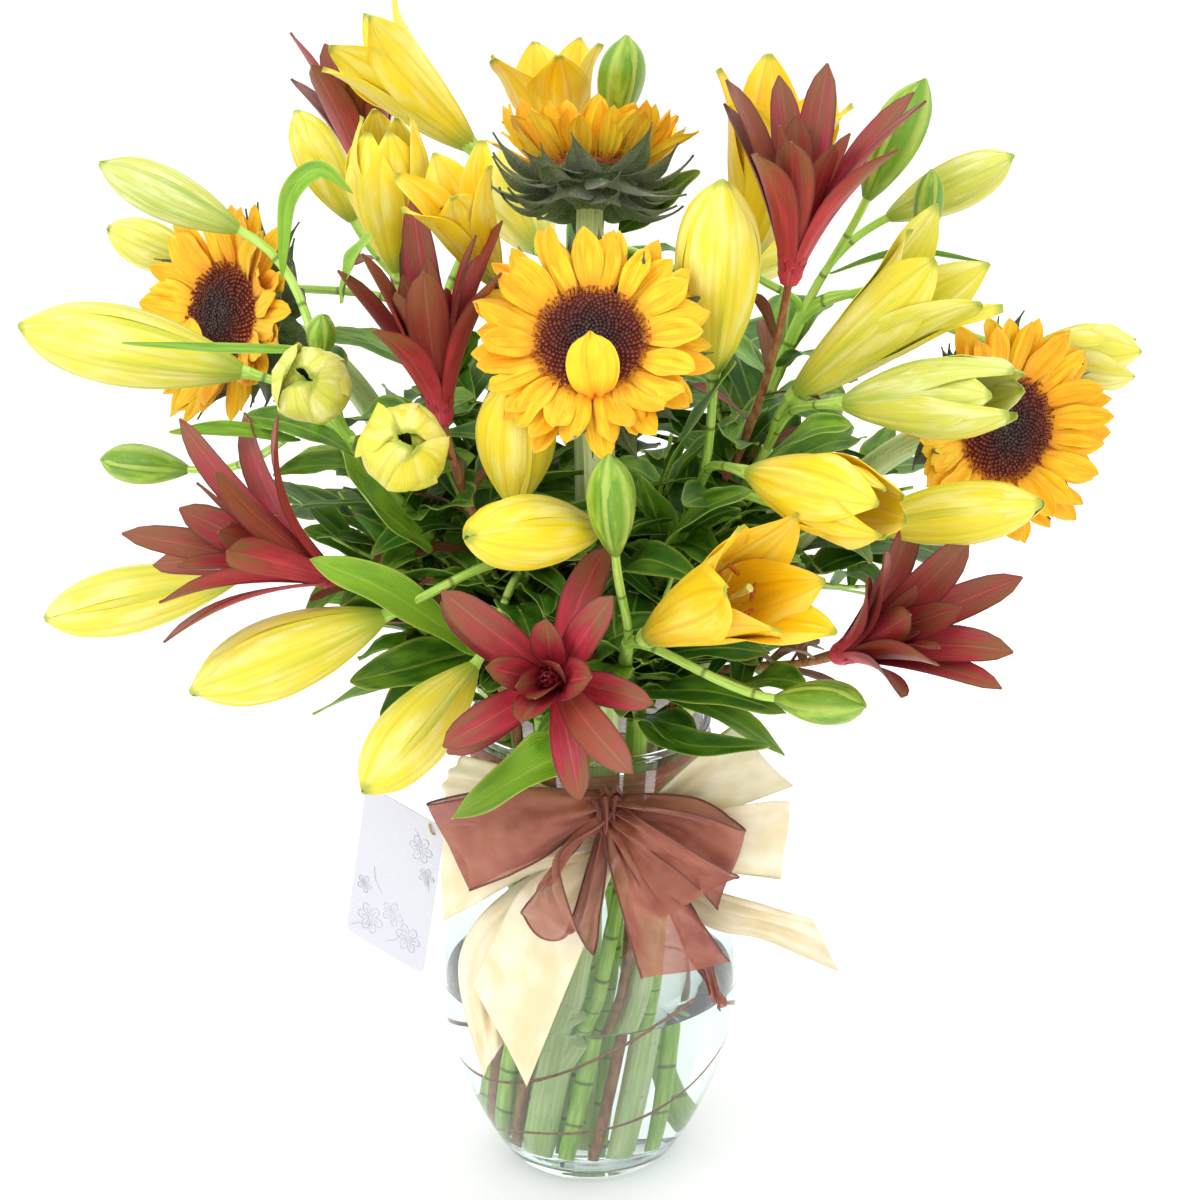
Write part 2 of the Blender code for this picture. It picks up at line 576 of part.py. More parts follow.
def pedicel(start, direction, base, tip, gap):
    """The thin stalk from a stem's top to a flower, which it stops short of by the gap."""
    axis = (tip - base).normalized()
    return even_tube(bend(start, direction, base - axis * gap, axis, 4), PEDICEL_RADIUS, 6)


def green_bud(base, tip, width):
    points = [base.lerp(tip, share) for share, _ in GREEN_BUD_STATIONS]
    return tube(points, [width / 2 * reach for _, reach in GREEN_BUD_STATIONS], 6)


def make_lily_stem(name):
    """A lily's stem with its stalks, green buds and leaves, as one body."""
    end, buds = LILY_STEMS[name]
    end = MOUTH + Vector(end)
    path = stem_path(name, end, end - MOUTH + Vector((0, 0, 0.05)))
    top_direction = heading(path, len(path) - 1)
    flowers = [(base, tip, PEDICEL_GAP) for stem, _, base, tip, _ in LILY_BLOOMS.values() if stem == name]
    flowers += [(base, tip, -PEDICEL_RADIUS) for base, tip, _ in buds]
    pieces = [even_tube(path, LILY_STEM_RADIUS)]
    for i, (base, tip, gap) in enumerate(flowers):
        start = end - top_direction * LILY_STEM_RADIUS * (1.2 + i / 2)
        pieces.append(pedicel(start, top_direction, MOUTH + Vector(base), MOUTH + Vector(tip), gap))
    pieces += [green_bud(MOUTH + Vector(base), MOUTH + Vector(tip), width) for base, tip, width in buds]
    add_object(name, joined(pieces + leaf_meshes(name, path)), GREEN)
    return bore_for(name, path, LILY_STEM_RADIUS)


def bud_mesh(length, width):
    profile = [(width / 2 * reach, length * share) for share, reach in BUD_STATIONS]
    return turned([(0, 0)] + profile + [(0, length)], 6)


def open_mesh(length, width, kind):
    """A flower of six petals: a thin cup whose edge runs up to six tips and down to six notches."""
    profile, tip, notch = OPEN_STATIONS[kind]
    half = width / 2
    outer = [circle(half * reach, length * share, 12) for share, reach in profile]
    outer.append(zigzag(12, (half * tip[1], length * tip[0]), (half * notch[1], length * notch[0])))
    inner = []
    for share, reach in profile[1:]:
        inner.append(circle(half * reach - PETAL_THICKNESS, length * share + PETAL_THICKNESS, 12))
    edge = half * tip[1] - PETAL_THICKNESS / 2, length * tip[0]
    valley = half * notch[1] - PETAL_THICKNESS / 2, length * notch[0]
    inner.append(zigzag(12, edge, valley))
    return loft(outer + inner[::-1])


def make_bloom(name):
    _, kind, base, tip, width = LILY_BLOOMS[name]
    base, tip = MOUTH + Vector(base), MOUTH + Vector(tip)
    length = (tip - base).length
    mesh = bud_mesh(length, width) if kind == "bud" else open_mesh(length, width, kind)
    mesh.transform(facing(base, tip - base))
    add_object(name, mesh, YELLOW)


def petal_ring():
    """A sunflower's ring of pointed petals, lying round its disc."""
    columns = 2 * SUNFLOWER_PETALS
    inner = (SUNFLOWER_DISC_RADIUS + CLEARANCE, 0.001)
    notch = (0.55 * SUNFLOWER_DISC_RADIUS + 0.45 * SUNFLOWER_RADIUS, 0.004)
    middle = ((inner[0] + SUNFLOWER_RADIUS) / 2, 0.0065)
    tip = (SUNFLOWER_RADIUS, 0.012)
    valley = (notch[0] * 0.97, notch[1])
    under = [zigzag(columns, inner, inner), zigzag(columns, middle, valley), zigzag(columns, tip, notch)]
    heights = (PETAL_THICKNESS, PETAL_THICKNESS, PETAL_THICKNESS * 0.6)
    over = [raised(ring, height) for ring, height in zip(under, heights)]
    return loft(under + over[::-1], closed=True)


def disc_mesh():
    """A sunflower's domed disc of florets."""
    radius = SUNFLOWER_DISC_RADIUS
    return turned([(0, 0.001), (radius, 0.001), (radius, 0.004), (radius * 0.6, 0.008), (0, 0.009)], 16)


def calyx_mesh(stem_radius):
    """The green cup behind the petals with its pointed bracts; its top is a gap below the flower."""
    columns = 2 * SUNFLOWER_BRACTS
    disc = SUNFLOWER_DISC_RADIUS
    tip, notch = (SUNFLOWER_RADIUS * 0.79, 0.0015), (disc * 1.12, -0.0025)
    lower_tip, lower_notch = [(radius, height - LEAF_THICKNESS) for radius, height in (tip, notch)]
    return loft([
        circle(stem_radius * 1.2, -CALYX_DEPTH, columns),
        circle(disc * 0.95, -0.007, columns),
        zigzag(columns, lower_tip, lower_notch),
        zigzag(columns, tip, notch),
        circle(disc * 0.9, 0.001 - CLEARANCE, columns),
    ])


def make_sunflower(name):
    """A sunflower in three parts: its petals, its disc, and its stem with the calyx and a leaf."""
    place, direction, stem_radius = SUNFLOWERS[name]
    place, direction = MOUTH + Vector(place), Vector(direction).normalized()
    frame = facing(place, direction)
    petals, disc, calyx = petal_ring(), disc_mesh(), calyx_mesh(stem_radius)
    for mesh in (petals, disc, calyx):
        mesh.transform(frame)
    add_object(name + "_petals", petals, GOLD)
    add_object(name + "_disc", disc, BROWN)
    stem_name = name + "_stem"
    path = stem_path(stem_name, place - direction * (CALYX_DEPTH * 0.6), direction)
    pieces = [even_tube(path, stem_radius), calyx] + leaf_meshes(stem_name, path)
    add_object(stem_name, joined(pieces), DARK_GREEN)
    return bore_for(stem_name, path, stem_radius)


def bract_mesh(i, length, spread):
    """One of a conebush head's bracts. Each starts a little higher than the last and leans out more."""
    turn = 3 * 360 * i / CONEBUSH_BRACTS + 6 * i
    lean = math.radians(spread * (0.75 if i % 2 else 1.1))
    out = polar(1, turn, 0)
    points = []
    for part, _ in BRACT_STATIONS:
        tilt = lean * (0.55 + 0.45 * part)
        way = out * math.sin(tilt) + Vector((0, 0, math.cos(tilt)))
        points.append(way * (length * part) + out * 0.0025 + Vector((0, 0, 0.0013 * i - 0.001)))
    widths = [BRACT_WIDTH * wide for _, wide in BRACT_STATIONS]
    side = out.cross(Vector((0, 0, 1)))
    return blade(points, widths, side.cross(points[-1] - points[0]))


def make_conebush(name):
    """A conebush: its stem and leaves, and a cone inside a cup of pointed red bracts, as one body."""
    base, direction, length, spread = CONEBUSHES[name]
    base, direction = MOUTH + Vector(base), Vector(direction).normalized()
    core = [(CONEBUSH_CORE_RADIUS * reach, 0.62 * length * share) for share, reach in CORE_STATIONS]
    head = [turned([(0, core[0][1])] + core + [(0, core[-1][1])], 6)]
    head += [bract_mesh(i, length, spread) for i in range(CONEBUSH_BRACTS)]
    for mesh in head:
        mesh.transform(facing(base, direction))
    path = stem_path(name, base, direction)
    stem = even_tube(path, CONEBUSH_STEM_RADIUS, 6)
    add_object(name, joined([stem] + head + leaf_meshes(name, path)), MAROON)
    return bore_for(name, path, CONEBUSH_STEM_RADIUS)


def make_vine():
    """A thin vine coiled against the glass inside the vase."""
    points = []
    for i in range(VINE_POINTS):
        share = i / (VINE_POINTS - 1)
        height = FLOOR_THICKNESS + 0.010 + 0.080 * share + 0.010 * math.sin(math.tau * 2.3 * share)
        radius = vase_radius(height) - GLASS_WALL - VINE_RADIUS * 2.6
        points.append(polar(radius, 360 * VINE_TURNS * share + 200, height))
    add_object("vine", even_tube(points, VINE_RADIUS, 6), material("vine_brown", (0.25, 0.12, 0.07), 0.6))
    return add_helper("vine_bore", even_tube(points, VINE_RADIUS + CLEARANCE, 6))


def neck_band(width, drop):
    """A band of ribbon round the neck, following the glass, its middle this far below the mouth."""
    levels = [VASE_HEIGHT - drop + width * share for share in (-0.5, 0.0, 0.5)]
    inner = [circle(vase_radius(level) + 2 * CLEARANCE, level, VASE_SIDES) for level in levels]
    reach = 2 * CLEARANCE + RIBBON_THICKNESS
    outer = [circle(vase_radius(level) + reach, level, VASE_SIDES) for level in levels]
    return loft(inner + outer[::-1], closed=True)


def clear_of_glass(point):
    """The point, pushed straight out from the axis where it is too near the vase."""
    flat = Vector((point.x, point.y, 0))
    short = vase_radius(point.z) + RIBBON_GAP - flat.length
    return point + flat.normalized() * max(short, 0)


def make_ribbon(name, runs, knot, band, look):
    """A ribbon tied round the neck: its band, its knot and every loop and tail, as one body."""
    direction, drop, front = knot
    height = VASE_HEIGHT - drop
    start = vase_radius(height + KNOT_RADIUS / 2) + CLEARANCE
    reaches = (start, (start + front) / 2, front)
    points = [polar(reach, direction, height) for reach in reaches]
    pieces = [tube(points, [KNOT_RADIUS * share for share in (0.5, 1, 0.6)]), neck_band(*band)]
    for run in runs.values():
        line = [clear_of_glass(MOUTH + Vector(point)) for point, _ in run]
        pieces.append(strip(line, [Vector(reach) for _, reach in run]))
    add_object(name, joined(pieces), look)


def make_card():
    """The gift card, and the gold cord that ties it to the neck."""
    width, thickness, height = CARD_SIZE
    bm = bmesh.new()
    bmesh.ops.create_cube(bm, size=1)
    bmesh.ops.scale(bm, vec=CARD_SIZE, verts=bm.verts)
    corners = [edge for edge in bm.edges if abs(edge.verts[0].co.y - edge.verts[1].co.y) > thickness / 2]
    bmesh.ops.bevel(bm, geom=corners, offset=CARD_CORNER, segments=3, affect="EDGES")
    mesh = bpy.data.meshes.new("card")
    bm.to_mesh(mesh)
    bm.free()
    direction, beyond, drop = CARD_PLACE
    hang = Matrix.Translation(polar(BELLY_RADIUS + beyond, direction, VASE_HEIGHT - drop))
    hang @= Matrix.Rotation(math.radians(CARD_TURN), 4, "Z")
    hang @= Matrix.Rotation(math.radians(CARD_SWING), 4, "Y")
    mesh.transform(hang)
    add_object("card", mesh, material("card_white", (0.93, 0.93, 0.94), 0.6))
    behind = thickness / 2 + CARD_TIE_RADIUS + CLEARANCE
    hole = hang @ Vector((width / 2 - CARD_HOLE_INSET, behind, height / 2 - CARD_HOLE_INSET))
    level = VASE_HEIGHT - CARD_TIE_DROP
    neck = polar(vase_radius(level) + CARD_TIE_RADIUS + CLEARANCE, direction, level)
    line = bend(hole, Vector((0.6, 0.5, 0.4)), neck, Vector((1, 0, -0.2)), 6)
    gold = material("gold_cord", (0.65, 0.52, 0.22), 0.4)
    add_object("card_tie", even_tube(line, CARD_TIE_RADIUS, 6), gold)


def main():
    make_vase()
    bores = [make_lily_stem(name) for name in LILY_STEMS]
    bores += [make_sunflower(name) for name in SUNFLOWERS]
    bores += [make_conebush(name) for name in CONEBUSHES]
    bores.append(make_vine())
    make_water(bores)
    for name in LILY_BLOOMS:
        make_bloom(name)
    make_ribbon("satin_ribbon", SATIN_RUNS, SATIN_KNOT, SATIN_BAND, CREAM)
    make_ribbon("organza_ribbon", ORGANZA_RUNS, ORGANZA_KNOT, ORGANZA_BAND, ORGANZA_BROWN)
    make_card()


clear_scene()
PARTS = make_collection("sunflowers_in_a_vase")
HELPERS = make_collection("cutters", shown=False)
GREEN = material("stem_green", (0.20, 0.42, 0.06), 0.5)
DARK_GREEN = material("sunflower_green", (0.16, 0.28, 0.07), 0.6)
YELLOW = material("lily_yellow", (0.95, 0.80, 0.05), 0.45)
GOLD = material("sunflower_gold", (1.0, 0.58, 0.01), 0.5)
BROWN = material("seed_brown", (0.06, 0.02, 0.012), 0.8)
MAROON = material("conebush_red", (0.42, 0.07, 0.06), 0.5)
CREAM = material("satin_cream", (0.86, 0.76, 0.52), 0.35)
ORGANZA_BROWN = material("organza_brown", (0.36, 0.12, 0.07), 0.5)
main()
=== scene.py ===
"""Sunflowers, lilies and conebush in a glass vase, with a satin bow, an organza bow and a gift card.

+Z is up and the origin is the middle of the vase's foot. Lengths are in metres, but the tables of plants
and ribbons give places and lengths in millimetres, measured from the middle of the vase's mouth.
"""

import math
import random

import bmesh
import bpy
from mathutils import Matrix, Vector
from mathutils.geometry import interpolate_bezier


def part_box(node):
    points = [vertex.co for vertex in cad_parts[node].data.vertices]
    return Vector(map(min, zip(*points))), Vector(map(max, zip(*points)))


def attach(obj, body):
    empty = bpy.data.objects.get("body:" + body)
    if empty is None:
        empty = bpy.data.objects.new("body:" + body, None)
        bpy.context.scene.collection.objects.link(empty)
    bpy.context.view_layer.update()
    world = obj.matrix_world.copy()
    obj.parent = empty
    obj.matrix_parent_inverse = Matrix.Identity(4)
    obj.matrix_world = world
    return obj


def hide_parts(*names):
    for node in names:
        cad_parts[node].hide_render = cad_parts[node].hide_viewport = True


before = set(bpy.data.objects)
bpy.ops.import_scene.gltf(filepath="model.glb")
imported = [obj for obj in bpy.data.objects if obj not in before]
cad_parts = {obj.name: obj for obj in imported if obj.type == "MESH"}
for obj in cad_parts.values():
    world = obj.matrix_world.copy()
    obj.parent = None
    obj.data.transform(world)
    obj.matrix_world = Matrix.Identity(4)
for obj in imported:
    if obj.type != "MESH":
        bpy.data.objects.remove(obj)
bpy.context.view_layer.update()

# Vase
VASE_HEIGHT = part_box("vase")[1].z
FOOT_RADIUS = 0.0395
BELLY_RADIUS = 0.0805
NECK_RADIUS = 0.056
RIM_RADIUS = 0.0625
BELLY_SHARE = 0.465
NECK_SHARE = 0.838
GLASS_WALL = 0.003
FLOOR_THICKNESS = 0.009
WATER_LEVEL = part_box("water")[1].z
MOUTH = Vector((0, 0, VASE_HEIGHT))

# Stems
SUNFLOWER_STEM_RADIUS = 0.0065
FRONT_SUNFLOWER_STEM_RADIUS = 0.0075
LILY_STEM_RADIUS = 0.004
CONEBUSH_STEM_RADIUS = 0.0028
PEDICEL_RADIUS = 0.0022
STEM_FOOT_HEIGHT = 0.018
RIM_POINT_HEIGHT = 0.006
NECK_INNER = NECK_RADIUS - GLASS_WALL
INNER_RADIUS = NECK_INNER * 0.46
OUTER_RADIUS = NECK_INNER * 0.82
FOOT_SPREAD = 0.85
FOOT_TWIST = -50
NODE_SPACING = 0.026

# Sunflower heads
SUNFLOWER_RADIUS = 0.0555
DISC_RADIUS = 0.025
CALYX_DEPTH = 0.018
FLORET_COUNT = 640
CONE_SCALE_COUNT = 46
GOLDEN_ANGLE = 2.39996

# Leaves: the turn in degrees from each to the next up a stem, how far out they may reach, and the room
# they leave round the flowers.
LEAF_TURN = 137.5
LEAF_LIMIT = 0.24
LILY_ROOM = 0.004
SUNFLOWER_ROOM = 0.036
STEM_LEAF_COUNT = 26
SHOOT_LEAF_COUNT = 13
UP = Vector((0, 0, 1))

# Ribbons and card
SATIN_WIDTH = 0.040
SATIN_THICKNESS = 0.00035
ORGANZA_WIDTH = 0.044
ORGANZA_THICKNESS = 0.0002
RIBBON_GAP = 0.004
CARD_SIZE = (0.054, 0.0006, 0.090)
CARD_CORNER = 0.004
CARD_PLACE = (206, 0.0243, 0.082)
CARD_TURN = -27
CARD_SWING = 11
CARD_HOLE_INSET = 0.006
CARD_TIE_RADIUS = 0.0006
CARD_TIE_DROP = 0.056

# The card's drawing: flowers (x, z, size, petals) and stalks (points) from the card's middle
CARD_FLOWERS = ((-0.012, -0.030, 0.0085, 6), (0.002, -0.020, 0.0070, 5), (0.014, -0.029, 0.0080, 6),
                (-0.019, -0.012, 0.0050, 5), (0.014, 0.026, 0.0075, 6), (0.020, 0.012, 0.0050, 5))
CARD_STALKS = (((-0.024, -0.040), (-0.018, -0.036), (-0.010, -0.034)),
               ((0.000, -0.038), (0.006, -0.034), (0.010, -0.028)),
               ((-0.006, -0.012), (-0.012, -0.006), (-0.014, 0.002)),
               ((0.008, 0.036), (0.012, 0.032), (0.013, 0.028)),
               ((0.023, 0.004), (0.022, 0.008), (0.020, 0.012)))
CARD_INK_GAP = 0.00002
CARD_TIE_GAP = 0.0004

# The studio: where the camera stands, what it looks at, its focal length in millimetres, and each lamp's
# place, size and power. The floor's numbers are half its side and its gap under the vase.
CAMERA_PLACE = (0.285, -1.5, 0.889)
CAMERA_TARGET = (0.0056, 0, 0.317)
CAMERA_LENS = 95.7
LAMPS = {
    "key": ((-1.3, -1.7, 1.9), 1.2, 22),
    "fill": ((1.8, -1.2, 1.2), 1.6, 5),
    "top": ((0.1, 0.2, 2.4), 1.8, 12),
    "back": ((0.6, 1.9, 1.3), 1.4, 8),
}
LAMP_TARGET = (0, 0, 0.3)
FLOOR_REACH = 40
FLOOR_GAP = 0.0002

# Each stem's slot in the neck: ring radius and direction in degrees.
SLOTS = {
    "lily_stem_a": (INNER_RADIUS, 225),
    "lily_stem_b": (OUTER_RADIUS, 212),
    "lily_stem_c": (INNER_RADIUS, 180),
    "lily_stem_d": (OUTER_RADIUS, 251),
    "lily_stem_e": (OUTER_RADIUS, 313),
    "lily_stem_f": (INNER_RADIUS, 300),
    "lily_stem_g": (INNER_RADIUS, 338),
    "lily_stem_h": (OUTER_RADIUS, 20),
    "lily_stem_i": (OUTER_RADIUS, 100),
    "sunflower_left_stem": (OUTER_RADIUS, 190),
    "sunflower_front_stem": (OUTER_RADIUS, 290),
    "sunflower_top_stem": (0.0, 0),
    "sunflower_right_stem": (OUTER_RADIUS, 352),
    "conebush_left": (OUTER_RADIUS, 232),
    "conebush_front": (OUTER_RADIUS, 269),
    "conebush_middle": (INNER_RADIUS, 262),
    "conebush_top_right": (INNER_RADIUS, 20),
    "conebush_right": (OUTER_RADIUS, 333),
    "conebush_top_left": (OUTER_RADIUS, 160),
}

# Lily stems: where each ends and its green buds (base, tip, width).
LILY_STEMS = {
    "lily_stem_a": ((-102, -85, 172), [((-211, 0, 120), (-258, 0, 123), 20),
        ((-111, -98, 214), (-106, -108, 237), 13)]),
    "lily_stem_b": ((-88, -50, 73), []),
    "lily_stem_c": ((-75, 0, 196), []),
    "lily_stem_d": ((-18, -82, 106), []),
    "lily_stem_e": ((40, -112, 85), [((40, -146, 142), (40, -162, 195), 21),
        ((114, -132, 70), (157, -146, 75), 20)]),
    "lily_stem_f": ((64, -62, 142), []),
    "lily_stem_g": ((94, -30, 159), []),
    "lily_stem_h": ((102, 35, 210), [((134, 22, 273), (160, 20, 333), 24),
        ((163, 5, 255), (167, 0, 294), 13)]),
    "lily_stem_i": ((-10, 80, 225), [((2, 55, 296), (9, 55, 342), 22)]),
}

# Lily blooms: stem, form, base, tip, width and how green the petals still are.
LILY_BLOOMS = {
    "a1": ("lily_stem_a", "bud", (-159, -64, 265), (-221, -80, 298), 23, 0.95),
    "a2": ("lily_stem_a", "bud", (-152, -90, 202), (-258, -110, 225), 37, 0.62),
    "a3": ("lily_stem_a", "cup", (-106, -105, 194), (-103, -155, 224), 37, 0.8),
    "a4": ("lily_stem_a", "cup", (-67, -125, 173), (-46, -180, 204), 43, 0.62),
    "b1": ("lily_stem_b", "bud", (-175, -40, 78), (-275, -50, 52), 34, 0.58),
    "d4": ("lily_stem_d", "bud", (-75, -130, 97), (-160, -170, 67), 37, 0.5),
    "d5": ("lily_stem_d", "bud", (-34, -120, 70), (-74, -180, 28), 34, 0.55),
    "c1": ("lily_stem_c", "open", (-63, 20, 291), (-124, 20, 346), 45, 0.35),
    "c2": ("lily_stem_c", "bud", (-119, 0, 256), (-147, 0, 310), 24, 0.5),
    "c3": ("lily_stem_c", "half", (-84, -50, 245), (-88, -58, 321), 40, 0.42),
    "c4": ("lily_stem_c", "bud", (-206, 32, 218), (-256, 25, 240), 25, 0.75),
    "d1": ("lily_stem_d", "open", (-32, -70, 247), (-53, -90, 305), 42, 0.2),
    "d2": ("lily_stem_d", "bud", (-12, -122, 155), (-8, -140, 221), 35, 0.35),
    "d3": ("lily_stem_d", "bud", (28, -130, 147), (-19, -200, 165), 33, 0.38),
    "e1": ("lily_stem_e", "open", (53, -130, 96), (122, -188, 154), 55, 0.08),
    "f1": ("lily_stem_f", "bud", (75, -84, 213), (79, -92, 306), 39, 0.42),
    "f2": ("lily_stem_f", "half", (98, -118, 175), (169, -170, 176), 39, 0.22),
    "f3": ("lily_stem_f", "bud", (149, -82, 141), (232, -110, 166), 29, 0.48),
    "g1": ("lily_stem_g", "open", (110, -50, 193), (187, -70, 268), 49, 0.62),
    "g2": ("lily_stem_g", "half", (138, -85, 201), (219, -125, 222), 39, 0.85),
    "h1": ("lily_stem_h", "open", (77, 15, 243), (99, 0, 332), 58, 0.15),
    "h2": ("lily_stem_h", "bud", (143, 42, 259), (203, 42, 292), 24, 0.75),
    "h3": ("lily_stem_h", "half", (217, 22, 200), (268, 30, 197), 32, 0.68),
    "i1": ("lily_stem_i", "open", (-25, 62, 270), (-35, 70, 333), 51, 0.08),
    "i2": ("lily_stem_i", "half", (-49, 120, 214), (-84, 185, 242), 39, 0.5),
    "i3": ("lily_stem_i", "bud", (48, 125, 204), (85, 190, 220), 33, 0.5),
}

# Sunflowers: place, facing, stem radius, how far the rays rise (at base and tip, degrees) and the
# direction of a ray that folds over the disc, if one does.
SUNFLOWERS = {
    "sunflower_left": ((-176, -30, 212), (-0.55, -0.75, 0.3), SUNFLOWER_STEM_RADIUS, (12, 22), -80),
    "sunflower_front": ((25, -125, 235), (0.1, -0.76, 0.62), FRONT_SUNFLOWER_STEM_RADIUS, (6, 14), -84),
    "sunflower_top": ((0, 5, 284), (-0.05, 0.42, 0.9), SUNFLOWER_STEM_RADIUS, (30, 52), None),
    "sunflower_right": ((207, -30, 176), (0.6, -0.78, 0.18), SUNFLOWER_STEM_RADIUS, (10, 20), None),
}

# Conebush heads: base, direction, length and how far the bracts open in degrees.
CONEBUSHES = {
    "conebush_left": ((-102, -118, 110), (-0.75, -0.45, 0.49), 81, 42),
    "conebush_front": ((12, -140, 75), (-0.03, -0.92, 0.4), 58, 68),
    "conebush_middle": ((-52, -98, 189), (-0.1, -0.16, 0.98), 74, 29),
    "conebush_top_right": ((106, -52, 252), (0.14, -0.2, 0.97), 79, 35),
    "conebush_right": ((139, -90, 78), (0.65, -0.53, 0.54), 73, 33),
    "conebush_top_left": ((-123, 60, 255), (-0.18, 0.05, 0.98), 65, 26),
}

# Leaves that grow on the stems: share of the stem above the mouth, direction, rise, length, width.
STEM_LEAVES = {
    "lily_stem_a": [(0.45, 205, 55, 80, 20), (0.7, 285, 40, 60, 18)],
    "lily_stem_b": [(0.25, 195, 10, 90, 24), (0.6, 165, 40, 70, 20)],
    "lily_stem_c": [(0.3, 105, 30, 90, 22), (0.5, 235, 55, 80, 20), (0.75, 75, 25, 80, 20)],
    "lily_stem_d": [(0.55, 230, 45, 80, 22)],
    "lily_stem_e": [(0.3, 335, 12, 90, 24)],
    "lily_stem_f": [(0.35, 325, 35, 80, 22), (0.7, 345, 55, 70, 20)],
    "lily_stem_g": [(0.3, 350, 20, 90, 24), (0.6, 15, 35, 80, 22)],
    "lily_stem_h": [(0.2, 30, 20, 100, 26), (0.4, 55, 30, 90, 24), (0.65, 5, 15, 80, 20)],
    "lily_stem_i": [(0.15, 80, 15, 100, 26), (0.3, 130, 20, 100, 26), (0.5, 50, 35, 90, 22),
        (0.65, 150, 30, 90, 22)],
    "sunflower_left_stem": [(0.35, 175, 20, 90, 34)],
    "sunflower_right_stem": [(0.4, 10, 15, 90, 34)],
    "conebush_left": [(0.5, 190, 20, 50, 10), (0.75, 215, 50, 45, 10)],
    "conebush_right": [(0.55, 350, 10, 55, 10), (0.8, 20, 20, 50, 10)],
    "conebush_middle": [(0.55, 215, 30, 50, 11)],
    "conebush_top_right": [(0.55, 30, 40, 60, 10)],
    "conebush_top_left": [(0.6, 120, 40, 60, 10)],
}

# Single lily leaves between the flowers: points from the base to the tip, width and shade (0 is the
# darkest green, 1 the brightest).
SINGLE_LEAVES = {
    "leaf_over_bow": ([(20, -75, 16), (0, -115, 21), (-45, -122, -9)], 32, 0.75),
    "leaf_arched": ([(-133, -80, 247), (-127, -85, 286), (-112, -85, 301), (-96, -85, 290)], 9, 0.8),
    "leaf_upper_left": ([(-102, -90, 239), (-94, -100, 259), (-82, -105, 277)], 17, 0.8),
    "leaf_thin_left": ([(-105, -100, 218), (-148, -120, 222), (-197, -130, 225)], 6, 0.7),
    "leaf_low_left": ([(-127, -80, 166), (-156, -100, 176), (-183, -110, 176)], 9, 0.7),
    "leaf_curled": ([(-60, -90, 118), (-81, -120, 151), (-94, -125, 177)], 24, 0.6),
    "leaf_long_left": ([(-36, -100, 70), (-70, -135, 111), (-104, -150, 131)], 21, 0.9),
    "leaf_broad_left": ([(-42, -70, 61), (-65, -100, 61), (-96, -115, 56)], 25, 0.4),
    "leaf_right_a": ([(44, -60, 144), (65, -90, 185), (86, -90, 220)], 20, 0.3),
    "leaf_right_b": ([(48, -70, 117), (72, -100, 149), (98, -110, 164)], 21, 0.5),
    "leaf_right_c": ([(60, -50, 106), (90, -90, 132), (120, -100, 127)], 19, 0.25),
    "leaf_right_d": ([(97, -60, 162), (122, -90, 188), (142, -100, 195)], 18, 0.5),
    "leaf_low_right_a": ([(39, -70, 43), (79, -105, 60), (117, -120, 58)], 19, 0.2),
    "leaf_low_right_b": ([(37, -60, 23), (67, -90, 25), (107, -100, 32)], 16, 0.3),
    "leaf_grass": ([(119, 0, 240), (154, 10, 250), (193, 20, 244)], 4, 0.4),
    "leaf_centre_a": ([(-5, -50, 70), (-9, -80, 112), (-39, -100, 127)], 22, 0.3),
    "leaf_centre_b": ([(15, -50, 82), (42, -90, 119), (74, -110, 118)], 21, 0.3),
    "leaf_centre_c": ([(4, -60, 37), (27, -90, 77), (65, -110, 97)], 20, 0.2),
    "leaf_centre_d": ([(-24, -30, 135), (-32, -60, 165), (-60, -70, 171)], 22, 0.2),
    "leaf_top_mid": ([(12, 20, 251), (30, 30, 265), (50, 30, 281)], 20, 0.3),
}

# Ribbon runs, each a list of (middle of the ribbon, vector to its edge), and the bows' knots: direction
# in degrees, how far below the mouth and how far their front is from the axis.
SATIN_KNOT = (291.4, 0.041, 0.0717)
ORGANZA_KNOT = (286.7, 0.019, 0.0846)
SATIN_BAND = (0.018, 0.043)
ORGANZA_BAND = (0.026, 0.021)
SATIN_RUNS = {
    "right upper loop": [((27, -65, -40), (1, 0, -4)), ((71, -76, -3), (5, 0, -14)),
        ((100, -66, 12), (15, 0, -15)), ((71, -60, -5), (6, 0, -12)), ((27, -63, -38), (1, 0, -4))],
    "right lower loop": [((27, -66, -42), (0, 0, -5)), ((78, -80, -28), (0, 0, -16)),
        ((112, -70, -31), (-1, 0, -21)), ((79, -66, -39), (1, -2, -14)), ((27, -64, -42), (0, 0, -5))],
    "left upper loop": [((25, -65, -40), (-1, 0, -5)), ((-23, -74, -15), (-2, 0, -11)),
        ((-60, -62, -15), (-4, 0, -13)), ((-26, -61, -19), (-1, 0, -10)), ((25, -63, -38), (-1, 0, -5))],
    "left lower loop": [((25, -66, -42), (0, 0, -5)), ((-19, -78, -46), (1, 0, -14)),
        ((-63, -68, -66), (0, 0, -26)), ((-23, -66, -50), (2, -2, -13)), ((25, -64, -42), (0, 0, -5))],
    "front tail": [((25, -66, -42), (4, 0, -2)), ((2, -81, -67), (17, 0, -8)),
        ((-13, -87, -100), (18, 0, -14)), ((-30, -88, -144), (14, -1, -28))],
    "back tail": [((25, -65, -43), (2, 0, -2)), ((-20, -73, -81), (8, -1, -11)),
        ((-41, -80, -115), (13, -1, -5)), ((-36, -83, -164), (6, -1, 12))],
    "right tail": [((27, -65, -43), (0, 0, -3)), ((71, -76, -66), (0, 0, -10)),
        ((105, -76, -74), (0, 0, -10)), ((133, -70, -86), (7, 0, -14))],
}
